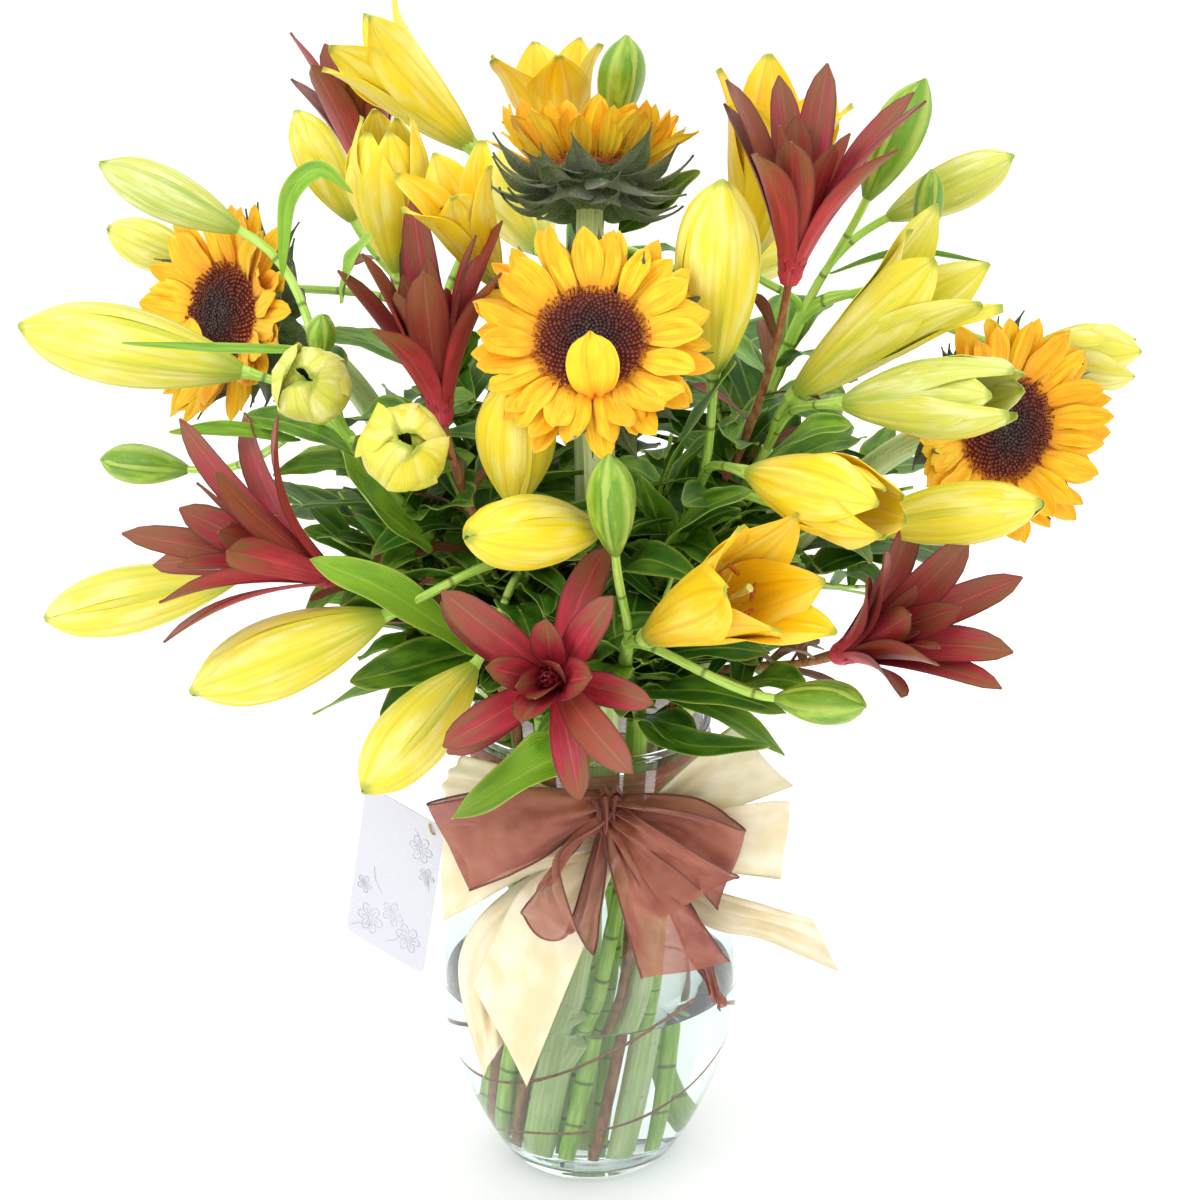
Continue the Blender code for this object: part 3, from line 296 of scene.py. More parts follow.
ORGANZA_RUNS = {
    "left loop": [((24, -77, -16), (0, 0, -6)), ((-8, -96, -21), (4, 0, -18)),
        ((-55, -88, -41), (10, 0, -23)), ((-16, -86, -24), (4, 0, -19)), ((24, -74, -16), (0, 0, -6))],
    "middle loop": [((23.5, -80, -18), (-4, 0, -4)), ((-1, -104, -46), (-6, -1, -8)),
        ((4, -100, -75), (-17, 1, 9)), ((13, -92, -75), (-9, 0, -7)), ((24.5, -76.5, -19), (-3, 0, -3))],
    "right loop": [((22.5, -78.5, -18), (0, 0, -5)), ((65, -96, -21), (-5, 0, -14)),
        ((88, -88, -41), (-6, 0, -22)), ((64, -86, -24), (-4, 0, -18)), ((22.5, -73, -17), (0, 0, -5))],
    "upper loop": [((22.5, -77.5, -18.5), (0, 0, -4)), ((50, -100, -30), (-7, 0, -13)),
        ((74, -98, -52), (-19, 0, -12)), ((52, -90, -47), (-12, 0, -12)),
        ((22.5, -74.5, -18.5), (0, 0, -4))],
    "wide tail": [((24, -79, -20.5), (4, 0, -1)), ((46, -100, -49), (15, 0, -1)),
        ((59, -102, -74), (20, 0, 3)), ((67, -98, -93), (22, 0, 7))],
    "narrow tail": [((23, -75.5, -21.5), (3, 0, -1)), ((62, -88, -62), (6, 0, 1)),
        ((73, -88, -90), (6, 0, -1)), ((82, -86, -114), (2, 0, -6))],
}

# Rows round a head. Rays: count, radius, height and stretch. Calyx bracts: count, radius, height, length,
# rise and fall. Conebush bracts: count, share of the length, opening, height and half width.
RAY_ROWS = ((19, 0.0235, 0.0030, 0.93), (17, 0.0228, 0.0018, 1.0), (13, 0.0220, 0.0006, 1.04))
CALYX_ROWS = ((11, 0.0215, -0.0040, 0.036, -4, 30), (10, 0.0205, -0.0070, 0.036, -34, 40),
              (9, 0.0170, -0.0105, 0.034, -58, 24))
CONEBUSH_WHORLS = ((5, 1.05, 1.20, 0.0000, 0.0098), (4, 1.10, 0.80, 0.0025, 0.0104),
                   (4, 0.80, 0.42, 0.0045, 0.0100), (3, 0.58, 0.18, 0.0060, 0.0086))

# Lengthwise shapes: pairs of share of the length and share of the widest.
LEAF = ((0.0, 0.16), (0.15, 0.55), (0.40, 1.0), (0.70, 0.78), (0.90, 0.32), (1.0, 0.04))
RAY = ((0.0, 0.30), (0.25, 0.78), (0.55, 1.0), (0.80, 0.80), (0.94, 0.38), (1.0, 0.05))
CALYX_BRACT = ((0.0, 0.85), (0.25, 1.0), (0.5, 0.80), (0.72, 0.32), (0.88, 0.07), (1.0, 0.025))
CONEBUSH_BRACT = ((0.0, 0.36), (0.3, 0.74), (0.60, 1.0), (0.84, 0.80), (0.96, 0.38), (1.0, 0.06))
SCALE = ((0.0, 0.7), (0.5, 1.0), (0.85, 0.55), (1.0, 0.08))

# Where each stem's leafy side shoots end.
SIDE_SHOOTS = {
    "lily_stem_a": [(-118, -60, 110), (-150, -30, 190)],
    "lily_stem_b": [(-125, -20, 120), (-90, -60, 170), (-150, 10, 60)],
    "lily_stem_c": [(-130, 60, 150), (-95, 30, 190), (-140, 90, 90)],
    "lily_stem_d": [(-60, -60, 150), (-40, -90, 110)],
    "lily_stem_e": [(60, -90, 120), (100, -80, 50)],
    "lily_stem_f": [(50, -50, 170), (100, -50, 150)],
    "lily_stem_g": [(130, -30, 130), (150, 0, 80), (90, 0, 190)],
    "lily_stem_h": [(120, 80, 140), (160, 40, 120), (80, 110, 90), (50, 60, 200)],
    "lily_stem_i": [(-70, 110, 140), (40, 130, 140), (-20, 140, 80), (-50, 70, 210)],
}

# Lily forms. reach is each petal's distance from the flower's axis and breadth its half width, both as
# shares of the flower's half width; bend is how round its section is, as a share of the reach.
FORMS = {
    "bud": {
        "reach": ((0.0, 0.20), (0.12, 0.48), (0.35, 0.86), (0.60, 1.0), (0.82, 0.80), (0.94, 0.42),
                  (1.0, 0.05)),
        "breadth": ((0.0, 0.20), (0.12, 0.48), (0.35, 0.84), (0.60, 0.98), (0.82, 0.84), (0.94, 0.50),
                    (1.0, 0.12)),
        "bend": 1.0, "spread": 0.0, "stamens": False,
    },
    "half": {
        "reach": ((0.0, 0.20), (0.15, 0.50), (0.45, 0.88), (0.72, 0.92), (0.90, 0.74), (1.0, 0.60)),
        "breadth": ((0.0, 0.20), (0.15, 0.52), (0.45, 0.92), (0.70, 0.86), (0.90, 0.42), (1.0, 0.06)),
        "bend": 0.95, "spread": 0.14, "stamens": False,
    },
    "open": {
        "reach": ((0.0, 0.16), (0.20, 0.40), (0.48, 0.64), (0.75, 0.82), (0.92, 1.02), (1.0, 1.18)),
        "breadth": ((0.0, 0.16), (0.20, 0.42), (0.48, 0.68), (0.72, 0.66), (0.90, 0.36), (1.0, 0.05)),
        "bend": 0.90, "spread": 0.20, "stamens": True,
    },
    "cup": {
        "reach": ((0.0, 0.20), (0.22, 0.66), (0.55, 0.92), (0.80, 0.78), (0.94, 0.42), (1.0, 0.24)),
        "breadth": ((0.0, 0.22), (0.22, 0.62), (0.55, 0.98), (0.80, 0.92), (0.94, 0.56), (1.0, 0.12)),
        "bend": 0.95, "spread": 0.30, "stamens": False,
    },
}


def profile(stations, share):
    """The value at this share of a smooth line through (share, value) pairs."""
    last = len(stations) - 1
    k = next((i for i in range(last) if share <= stations[i + 1][0]), last - 1)

    def slope(i):
        low, high = stations[max(i - 1, 0)], stations[min(i + 1, last)]
        return (high[1] - low[1]) / (high[0] - low[0])

    (start, low), (end, high) = stations[k], stations[k + 1]
    span = end - start
    t = min(max((share - start) / span, 0.0), 1.0)
    rising = low * (1 + 2 * t) * (1 - t) ** 2 + high * t * t * (3 - 2 * t)
    return rising + span * (slope(k) * t * (1 - t) ** 2 + slope(k + 1) * t * t * (t - 1))


def smooth(values, count):
    """count values on a smooth curve through the given ones."""
    last = len(values) - 1
    made = []
    for i in range(count):
        place = i / (count - 1) * last
        k = min(int(place), last - 1)
        t = place - k
        a, b, c, d = values[max(k - 1, 0)], values[k], values[k + 1], values[min(k + 2, last)]
        turn = (a * 2 - b * 5 + c * 4 - d) * (t * t / 2) + (b * 3 - a - c * 3 + d) * (t ** 3 / 2)
        made.append(b + (c - a) * (t / 2) + turn)
    return made


def rails(points, up=None):
    """A heading, a side and an up at each point of a line, turning as little as they can."""
    last = len(points) - 1
    if up is None:
        first = (points[1] - points[0]).normalized()
        up = Vector((1, 0, 0)) if abs(first.x) < 0.8 else Vector((0, 1, 0))
    made = []
    for i in range(last + 1):
        ahead = (points[min(i + 1, last)] - points[max(i - 1, 0)]).normalized()
        side = ahead.cross(up).normalized()
        up = side.cross(ahead).normalized()
        made.append((ahead, side, up))
    return made


def metres(values):
    """A vector from values in millimetres."""
    return Vector([value / 1000 for value in values])


def from_mouth(point):
    """A place from its distances, in millimetres, to the middle of the vase's mouth."""
    return MOUTH + metres(point)


def show(obj):
    """Puts an object in the scene."""
    bpy.context.scene.collection.objects.link(obj)
    return obj


def polar(radius, degrees, height):
    angle = math.radians(degrees)
    return Vector((radius * math.cos(angle), radius * math.sin(angle), height))


def facing(origin, direction):
    """A frame at origin whose Z points in direction."""
    z = direction.normalized()
    x = Vector((0, 0, 1)).cross(z).normalized()
    return Matrix.Translation(origin) @ Matrix((x, z.cross(x), z)).transposed().to_4x4()


def bend(start, start_direction, end, end_direction, count):
    """A smooth path from start to end that leaves and arrives in the given directions."""
    reach = (end - start).length * 0.4
    leave = start + start_direction.normalized() * reach
    arrive = end - end_direction.normalized() * reach
    return list(interpolate_bezier(start, leave, arrive, end, count))


class Shape:
    """The points and faces of a piece. Each point knows how far across and along its part it is and the
    part's tint, which the finishes read."""

    def __init__(self):
        self.points, self.faces, self.looks = [], [], []
        self.across, self.along, self.tint = [], [], []

    def skin(self, rings, across, along, tint=0.5, look=0, caps=True):
        """A skin through rings of points, closed round each ring and over both ends."""
        first, count = len(self.points), len(rings[0])
        for ring, share in zip(rings, along):
            self.points += ring
            self.across += across
            self.along += [share] * count
            self.tint += [tint] * count
        before = len(self.faces)
        for i in range(len(rings) - 1):
            row = first + i * count
            for k in range(count):
                n = (k + 1) % count
                self.faces.append((row + k, row + n, row + count + n, row + count + k))
        if caps:
            self.faces.append(tuple(range(first + count - 1, first - 1, -1)))
            self.faces.append(tuple(range(first + (len(rings) - 1) * count, first + len(rings) * count)))
        self.looks += [look] * (len(self.faces) - before)

    def thin(self, stations, thickness, relief=None, tint=0.5, look=0, count=11):
        """A thin closed leaf or petal. Each station is (middle, side, up, half width, curl, share); curl
        is how sharply the section bends towards up, and relief(across, share) raises its surface."""
        steps = [2 * k / (count - 1) - 1 for k in range(count)]
        rings = []
        for middle, side, up, half, curl, share in stations:
            over, under = [], []
            for s in steps:
                if abs(curl) > 1e-3:
                    angle = s * half * curl
                    point = middle + side * (math.sin(angle) / curl) + up * ((1 - math.cos(angle)) / curl)
                    normal = up * math.cos(angle) - side * math.sin(angle)
                else:
                    point, normal = middle + side * (s * half), up
                if relief:
                    point = point + normal * relief(s, share)
                depth = thickness * (1 - 0.7 * s * s) / 2
                over.append(point + normal * depth)
                under.append(point - normal * depth)
            rings.append(over + under[::-1])
        self.skin(rings, steps + steps[::-1], [station[5] for station in stations], tint, look)

    def stalk(self, points, radius, sides=12, tint=0.5, look=0, relief=None):
        """A round stalk along points. radius(share) is its radius; along is in metres from its start."""
        last = len(points) - 1
        rings, along, run = [], [], 0.0
        for i, (point, (_, side, up)) in enumerate(zip(points, rails(points))):
            run += (point - points[i - 1]).length if i else 0.0
            along.append(run)
            ring = []
            for k in range(sides):
                angle = math.tau * k / sides
                reach = radius(i / last) * (1 + (relief(run, angle) if relief else 0.0))
                ring.append(point + side * (reach * math.cos(angle)) + up * (reach * math.sin(angle)))
            rings.append(ring)
        self.skin(rings, [abs(2 * k / sides - 1) for k in range(sides)], along, tint, look)

    def leaf(self, points, width, up, tint=0.5, look=0, curl=0.5, ripple=0.03, twist=0.0, steps=16,
             form=LEAF, thickness=0.0007, vein=0.00035, count=9):
        """A leaf along points, folded along its midrib and rippled at its edges."""
        line = smooth(points, steps)
        stations = []
        for i, (point, (ahead, side, face)) in enumerate(zip(line, rails(line, up))):
            share = i / (steps - 1)
            turn = Matrix.Rotation(twist * share, 3, ahead)
            half = width / 2 * profile(form, share)
            stations.append((point, turn @ side, turn @ face, half, curl * 2 / width, share))
        phase = tint * 40

        def relief(s, share):
            groove = -vein * math.exp(-((s / 0.10) ** 2)) + vein * 0.25 * math.cos(s * 22)
            return groove + ripple * width * s * s * math.sin(share * 17 + phase + s)

        self.thin(stations, thickness, relief, tint, look, count)

    def solid(self, name, looks, replaces=None, smooth_angle=50):
        """The finished piece, riding on the arrangement in place of the CAD node it replaces."""
        mesh = bpy.data.meshes.new(name)
        mesh.from_pydata(self.points, [], self.faces)
        for key in ("across", "along", "tint"):
            layer = mesh.attributes.new(key, "FLOAT", "POINT")
            layer.data.foreach_set("value", getattr(self, key))
        mesh.polygons.foreach_set("material_index", self.looks)
        for look in looks:
            mesh.materials.append(look)
        tidy(mesh, smooth_angle)
        return add_piece(name, mesh, replaces)


def tidy(mesh, smooth_angle=50):
    """Faces the mesh outwards and smooths it, except at its sharp edges."""
    bm = bmesh.new()
    bm.from_mesh(mesh)
    bmesh.ops.recalc_face_normals(bm, faces=bm.faces)
    bm.to_mesh(mesh)
    bm.free()
    mesh.shade_smooth()
    mesh.set_sharp_from_angle(angle=math.radians(smooth_angle))


def add_piece(name, mesh, replaces=None):
    """A finished mesh as a piece in the scene."""
    obj = show(bpy.data.objects.new(name, mesh))
    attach(obj, "root")
    if replaces:
        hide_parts(replaces)
    return obj


# Finishes


def paint(red, green, blue):
    """A colour given as on a paint card, from 0 to 255, as the linear values that shaders take."""
    linear = (((v / 255 + 0.055) / 1.055) ** 2.4 if v > 10 else v / 255 / 12.92 for v in (red, green, blue))
    return (*linear, 1)


class Finish:
    """A material under construction: nodes are added one by one, and their inputs are numbers, colours or
    the outputs of other nodes."""

    def __init__(self, name, **sockets):
        self.material = bpy.data.materials.new(name)
        self.material.use_nodes = True
        self.tree = self.material.node_tree
        self.shader = self.tree.nodes["Principled BSDF"]
        self.fill(self.shader, {key.replace("_", " "): value for key, value in sockets.items()})

    def fill(self, node, inputs):
        for key, value in inputs.items():
            if isinstance(value, bpy.types.NodeSocket):
                self.tree.links.new(value, node.inputs[key])
            else:
                node.inputs[key].default_value = value

    def add(self, kind, inputs=None, **settings):
        node = self.tree.nodes.new("ShaderNode" + kind)
        for key, value in settings.items():
            setattr(node, key, value)
        self.fill(node, inputs or {})
        return node

    def value(self, name):
        return self.add("Attribute", attribute_name=name).outputs["Fac"]

    def maths(self, operation, *values):
        return self.add("Math", dict(enumerate(values)), operation=operation).outputs[0]

    def fade(self, value, low, high, start=0.0, end=1.0):
        """start where value is low, end where it is high and a smooth change between."""
        span = {"Value": value, "From Min": low, "From Max": high, "To Min": start, "To Max": end}
        return self.add("MapRange", span, interpolation_type="SMOOTHSTEP").outputs["Result"]

    def object_space(self, stretch=(1, 1, 1)):
        place = self.add("TexCoord").outputs["Object"]
        return self.add("Mapping", {"Vector": place, "Scale": stretch}).outputs["Vector"]

    def grain(self, across=1.0, along=1.0):
        """A direction-following pattern space: across and along a part, and different on each part."""
        x = self.maths("MULTIPLY", self.value("across"), across)
        y = self.maths("MULTIPLY", self.value("along"), along)
        z = self.maths("MULTIPLY", self.value("tint"), 91.0)
        return self.add("CombineXYZ", {"X": x, "Y": y, "Z": z}).outputs["Vector"]

    def noise(self, space, scale, detail=3.0, roughness=0.55):
        inputs = {"Vector": space, "Scale": scale, "Detail": detail, "Roughness": roughness}
        return self.add("TexNoise", inputs).outputs["Fac"]

    def ramp(self, value, *stops):
        """A run of colours: each stop is (place, colour)."""
        node = self.add("ValToRGB", {"Fac": value})
        for i, (place, shade) in enumerate(stops):
            band = node.color_ramp.elements
            stop = band[i] if i < 2 else band.new(place)
            stop.position, stop.color = place, shade
        return node.outputs["Color"]

    def mix(self, share, first, second, blend="MIX"):
        node = self.add("Mix", data_type="RGBA", blend_type=blend)
        self.fill(node, {0: share, 6: first, 7: second})
        return node.outputs[2]

    def bump(self, height, distance, strength=1.0, over=None):
        inputs = {"Height": height, "Distance": distance, "Strength": strength}
        if over:
            inputs["Normal"] = over
        return self.add("Bump", inputs).outputs["Normal"]

    def done(self, colour, roughness=None, normal=None):
        self.fill(self.shader, {"Base Color": colour})
        if roughness is not None:
            self.fill(self.shader, {"Roughness": roughness})
        if normal is not None:
            self.fill(self.shader, {"Normal": normal})
        return self.material


def lily_petal_finish():
    """Waxy petals from warm yellow to pale lime by tint, with a green rib, base and tip and fine veins."""
    f = Finish("lily_petal", Subsurface_Weight=0.12, Subsurface_Scale=0.004, Specular_IOR_Level=0.45)
    f.shader.inputs["Subsurface Radius"].default_value = (1.0, 0.8, 0.2)
    across, along, tint = f.value("across"), f.value("along"), f.value("tint")
    body = f.ramp(tint, (0.0, paint(255, 208, 22)), (1.0, paint(206, 216, 112)),
                  (0.35, paint(252, 226, 42)),
                  (0.6, paint(238, 228, 76)))
    # pale: paler yellow patches spread by cloud noise, partly uneven tone and partly painted highlight.
    pale = f.ramp(tint, (0.0, paint(255, 226, 84)), (1.0, paint(232, 238, 176)),
                  (0.5, paint(252, 242, 140)))
    cloud = f.noise(f.grain(2.2, 3.0), 1.0)
    colour = f.mix(f.fade(cloud, 0.42, 0.68), body, pale)
    rib = f.maths("MULTIPLY", f.fade(f.maths("ABSOLUTE", across), 0.02, 0.20, 1.0, 0.0),
                  f.fade(along, 0.98, 0.3))
    green = f.ramp(tint, (0.0, paint(236, 200, 30)), (1.0, paint(150, 186, 66)), (0.5, paint(206, 206, 54)))
    colour = f.mix(f.maths("MULTIPLY", rib, 0.75), colour, green)
    # Darker, more orange colour in the grooves either side of the rib: painted shade in the petal's
    # furrows.
    furrow_painted_shade = f.fade(f.maths("ABSOLUTE", f.maths("SUBTRACT", f.maths("ABSOLUTE", across), 0.30)), 0.0, 0.12,
                    1.0, 0.0)
    deep = f.ramp(tint, (0.0, paint(238, 168, 8)), (1.0, paint(176, 198, 84)), (0.5, paint(222, 204, 40)))
    colour = f.mix(f.maths("MULTIPLY", furrow_painted_shade, 0.5), colour, deep)
    base = f.fade(along, 0.22, 0.0)
    colour = f.mix(f.maths("MULTIPLY", base, 0.85), colour, paint(158, 186, 62))
    colour = f.mix(f.maths("MULTIPLY", f.fade(along, 0.955, 0.995), 0.8), colour, paint(150, 176, 60))
    lines = f.noise(f.grain(26.0, 1.6), 1.0, 2.0)
    colour = f.mix(f.fade(lines, 0.35, 0.65, 0.0, 0.28), colour, body, "MULTIPLY")
    normal = f.bump(lines, 0.0006, 0.5, f.bump(f.noise(f.object_space(), 900), 0.00015, 0.4))
    return f.done(colour, f.fade(cloud, 0.3, 0.7, 0.34, 0.5), normal)


def green_bud_finish():
    """Closed lily buds: bright green, with painted shade darkening the seams where the petals meet, and a
    yellow-green rib.
    """
    f = Finish("lily_green_bud", Specular_IOR_Level=0.5)
    across, along = f.value("across"), f.value("along")
    cloud = f.noise(f.grain(2.0, 4.0), 1.0)
    colour = f.mix(f.fade(cloud, 0.35, 0.7), paint(112, 158, 34), paint(164, 198, 66))
    colour = f.mix(f.fade(f.maths("ABSOLUTE", across), 0.0, 0.35, 0.55, 0.0), colour, paint(196, 214, 104))
    # Darker green at each petal's edges: painted shade in the seams.
    colour = f.mix(f.fade(f.maths("ABSOLUTE", across), 0.7, 1.0, 0.0, 0.6), colour, paint(80, 128, 26))
    colour = f.mix(f.fade(along, 0.2, 0.0, 0.0, 0.6), colour, paint(88, 134, 30))
    lines = f.noise(f.grain(24.0, 1.5), 1.0, 2.0)
    return f.done(colour, f.fade(cloud, 0.3, 0.7, 0.32, 0.46), f.bump(lines, 0.0005, 0.5))


def leaf_finish(name, dark, bright, edge, shine=0.36):
    """Leaves with parallel veins, a paler midrib, a light edge and uneven greens, darker by tint."""
    f = Finish(name, Specular_IOR_Level=0.5, Subsurface_Weight=0.06, Subsurface_Scale=0.002)
    across, along, tint = f.value("across"), f.value("along"), f.value("tint")
    wide = f.maths("ABSOLUTE", across)
    cloud = f.noise(f.grain(1.8, 4.0), 1.0)
    share = f.maths("ADD", tint, f.fade(cloud, 0.3, 0.7, -0.22, 0.22))
    colour = f.mix(f.fade(share, 0.0, 1.0), dark, bright)
    colour = f.mix(f.fade(wide, 0.0, 0.10, 0.55, 0.0), colour, edge)
    colour = f.mix(f.maths("MULTIPLY", f.fade(wide, 0.80, 1.0), 0.55), colour, edge)
    colour = f.mix(f.fade(along, 0.80, 1.0, 0.0, 0.4), colour, edge)
    veins = f.add("TexWave", {"Vector": f.grain(1.0, 0.0), "Scale": 3.4, "Distortion": 0.5}).outputs["Fac"]
    colour = f.mix(f.fade(veins, 0.5, 1.0, 0.0, 0.25), colour, dark)
    fine = f.bump(f.noise(f.object_space(), 1400), 0.0002, 0.35)
    return f.done(colour, f.fade(cloud, 0.3, 0.7, shine, shine + 0.16), f.bump(veins, 0.0003, 0.45, fine))


def lily_stem_finish():
    """Lily stems: bright green with long streaks and a dark scar at each leaf joint."""
    f = Finish("lily_stem", Specular_IOR_Level=0.5)
    run = f.value("along")
    streak = f.noise(f.grain(5.0, 40.0), 1.0)
    colour = f.mix(f.fade(streak, 0.3, 0.7), paint(152, 204, 62), paint(208, 238, 124))
    joint = f.maths("FRACT", f.maths("DIVIDE", f.maths("ADD", run, f.value("tint")), NODE_SPACING))
    scar = f.fade(f.maths("ABSOLUTE", f.maths("SUBTRACT", joint, 0.5)), 0.0, 0.07, 1.0, 0.0)
    colour = f.mix(f.maths("MULTIPLY", scar, 0.75), colour, paint(74, 92, 40))
    return f.done(colour, f.fade(streak, 0.3, 0.7, 0.36, 0.52), f.bump(streak, 0.0006, 0.4))


def sunflower_stem_finish():
    """Sunflower stems: pale green, ridged lengthwise, with brownish flecks."""
    f = Finish("sunflower_stem", Specular_IOR_Level=0.35, Sheen_Weight=0.25, Sheen_Roughness=0.6)
    ridge = f.noise(f.grain(9.0, 18.0), 1.0)
    colour = f.mix(f.fade(ridge, 0.3, 0.7), paint(196, 220, 122), paint(236, 246, 190))
    fleck = f.noise(f.object_space((1, 1, 0.3)), 900, 2.0)
    colour = f.mix(f.fade(fleck, 0.62, 0.74, 0.0, 0.5), colour, paint(112, 96, 52))
    return f.done(colour, f.fade(ridge, 0.3, 0.7, 0.5, 0.68), f.bump(ridge, 0.0008, 0.5))


def calyx_finish():
    """Sunflower bracts: dull dark green with a grey bloom, paler veins and thread-like tips."""
    f = Finish("sunflower_bract", Specular_IOR_Level=0.3, Sheen_Weight=0.45, Sheen_Roughness=0.55)
    across, along = f.value("across"), f.value("along")
    cloud = f.noise(f.grain(2.0, 3.0), 1.0)
    colour = f.mix(f.fade(cloud, 0.3, 0.7), paint(52, 76, 34), paint(104, 128, 66))
    colour = f.mix(f.fade(f.maths("ABSOLUTE", across), 0.0, 0.12, 0.5, 0.0), colour, paint(146, 160, 96))
    colour = f.mix(f.fade(along, 0.6, 1.0, 0.0, 0.5), colour, paint(44, 58, 30))
    net = f.add("TexVoronoi", {"Vector": f.grain(5.0, 8.0), "Scale": 1.6}, feature="DISTANCE_TO_EDGE")
    web = f.fade(net.outputs["Distance"], 0.0, 0.10)
    colour = f.mix(f.maths("SUBTRACT", 0.35, f.maths("MULTIPLY", web, 0.35)), colour, paint(136, 152, 92))
    return f.done(colour, f.fade(cloud, 0.3, 0.7, 0.55, 0.75), f.bump(web, 0.0004, 0.5))


def ray_finish():
    """Sunflower rays: golden yellow with orange at the base, and darker orange streaks along them, partly
    the rays' own veins and partly painted shade in their creases.
    """
    f = Finish("sunflower_ray", Specular_IOR_Level=0.35, Subsurface_Weight=0.10, Subsurface_Scale=0.003,
               Sheen_Weight=0.15, Sheen_Roughness=0.5)
    f.shader.inputs["Subsurface Radius"].default_value = (1.0, 0.6, 0.1)
    along, tint = f.value("along"), f.value("tint")
    cloud = f.noise(f.grain(2.0, 2.5), 1.0)
    share = f.maths("ADD", tint, f.fade(cloud, 0.3, 0.7, -0.3, 0.3))
    colour = f.mix(f.fade(share, 0.0, 1.0), paint(255, 182, 8), paint(255, 214, 34))
    colour = f.mix(f.fade(along, 0.38, 0.0, 0.0, 0.62), colour, paint(240, 132, 2))
    # Darker orange streaks: partly veins, partly painted shade in the creases.
    lines = f.noise(f.grain(13.0, 1.2), 1.0, 2.0)
    colour = f.mix(f.fade(lines, 0.50, 0.72, 0.0, 0.55), colour, paint(232, 134, 0))
    colour = f.mix(f.fade(along, 0.9, 1.0, 0.0, 0.35), colour, paint(255, 214, 90))
    return f.done(colour, f.fade(cloud, 0.3, 0.7, 0.45, 0.62), f.bump(lines, 0.0006, 0.6))


def floret_finish():
    """Sunflower florets by distance from the middle: grey-black, then maroon, then orange-tipped."""
    f = Finish("sunflower_floret", Specular_IOR_Level=0.25, Sheen_Weight=0.3, Sheen_Roughness=0.5)
    spot = f.noise(f.object_space(), 700, 2.0)
    place = f.maths("ADD", f.value("along"), f.fade(spot, 0.2, 0.8, -0.09, 0.09))
    colour = f.ramp(place, (0.0, paint(58, 44, 40)), (1.0, paint(196, 104, 34)), (0.34, paint(46, 22, 20)),
                    (0.62, paint(86, 24, 18)), (0.86, paint(116, 34, 18)), (0.95, paint(176, 78, 26)))
    # The top of each floret is mixed towards lighter colours: partly the florets' own paler tips, partly
    # painted highlight.
    tip = f.fade(f.value("tall"), 0.75, 1.0)
    lit = f.ramp(place, (0.0, paint(96, 84, 76)), (1.0, paint(250, 170, 50)), (0.5, paint(112, 50, 40)),
                 (0.8, paint(190, 90, 40)))
    colour = f.mix(f.maths("MULTIPLY", tip, 0.6), colour, lit)
    return f.done(colour, f.fade(spot, 0.3, 0.7, 0.6, 0.85), f.bump(spot, 0.0004, 0.5))


def conebush_finish(name, inner, middle, outer):
    """Leathery bracts: one colour at the base, one at the tip, a dark edge and fine lengthwise veins."""
    f = Finish(name, Specular_IOR_Level=0.4, Coat_Weight=0.05, Coat_Roughness=0.3)
    across, along, tint = f.value("across"), f.value("along"), f.value("tint")
    cloud = f.noise(f.grain(2.2, 3.0), 1.0)
    place = f.maths("ADD", along, f.fade(cloud, 0.25, 0.75, -0.28, 0.28))
    colour = f.ramp(place, (0.0, inner), (1.0, outer), (0.62, middle))
    colour = f.mix(f.fade(tint, 0.45, 1.0, 0.0, 0.60), colour, outer)
    wide = f.maths("ABSOLUTE", across)
    colour = f.mix(f.fade(wide, 0.84, 1.0, 0.0, 0.6), colour, paint(74, 34, 34))
    colour = f.mix(f.fade(wide, 0.0, 0.07, 0.3, 0.0), colour, paint(196, 132, 104))
    lines = f.noise(f.grain(18.0, 1.4), 1.0, 2.0)
    colour = f.mix(f.fade(lines, 0.45, 0.7, 0.0, 0.3), colour, paint(92, 40, 40))
    return f.done(colour, f.fade(cloud, 0.3, 0.7, 0.40, 0.56), f.bump(lines, 0.0005, 0.5))


def plain_plant_finish(name, first, second, scale, rough=0.55):
    """A simple plant surface: two shades in uneven streaks, lightly rough."""
    f = Finish(name, Specular_IOR_Level=0.4)
    spot = f.noise(f.object_space((1, 1, 0.4)), scale)
    return f.done(f.mix(f.fade(spot, 0.35, 0.65), first, second),
                  f.fade(spot, 0.3, 0.7, rough, rough + 0.15),
                  f.bump(spot, 0.0005, 0.6))


def glass_finish():
    """Clear pressed glass with a faint green-grey tint and slight waviness. Light passes straight through
    it to what stands inside."""
    f = Finish("vase_glass", Transmission_Weight=1.0, IOR=1.48)
    wave = f.noise(f.object_space((1, 1, 0.5)), 38, 1.0)
    colour = f.mix(f.fade(wave, 0.3, 0.7), paint(240, 248, 246), paint(250, 254, 253))
    f.done(colour, f.fade(wave, 0.2, 0.8, 0.0, 0.02), f.bump(wave, 0.0006, 0.12))
    return let_light_through(f)


def water_finish():
    """Still water, very slightly green."""
    f = Finish("vase_water", Transmission_Weight=1.0, IOR=1.33)
    wave = f.noise(f.object_space(), 60, 1.0)
    colour = f.mix(f.fade(wave, 0.3, 0.7), paint(240, 247, 243), paint(250, 253, 251))
    f.done(colour, f.fade(wave, 0.2, 0.8, 0.0, 0.015), f.bump(wave, 0.0004, 0.08))
    return let_light_through(f)


def let_light_through(f):
    """Lets lamps shine through a clear material, so that it throws only a faint shadow."""
    clear = f.add("BsdfTransparent", {"Color": paint(246, 251, 249)})
    mixed = f.add("MixShader", {0: f.add("LightPath").outputs["Is Shadow Ray"], 1: f.shader.outputs[0],
                                2: clear.outputs[0]})
    f.fill(f.tree.nodes["Material Output"], {"Surface": mixed.outputs[0]})
    return f.material


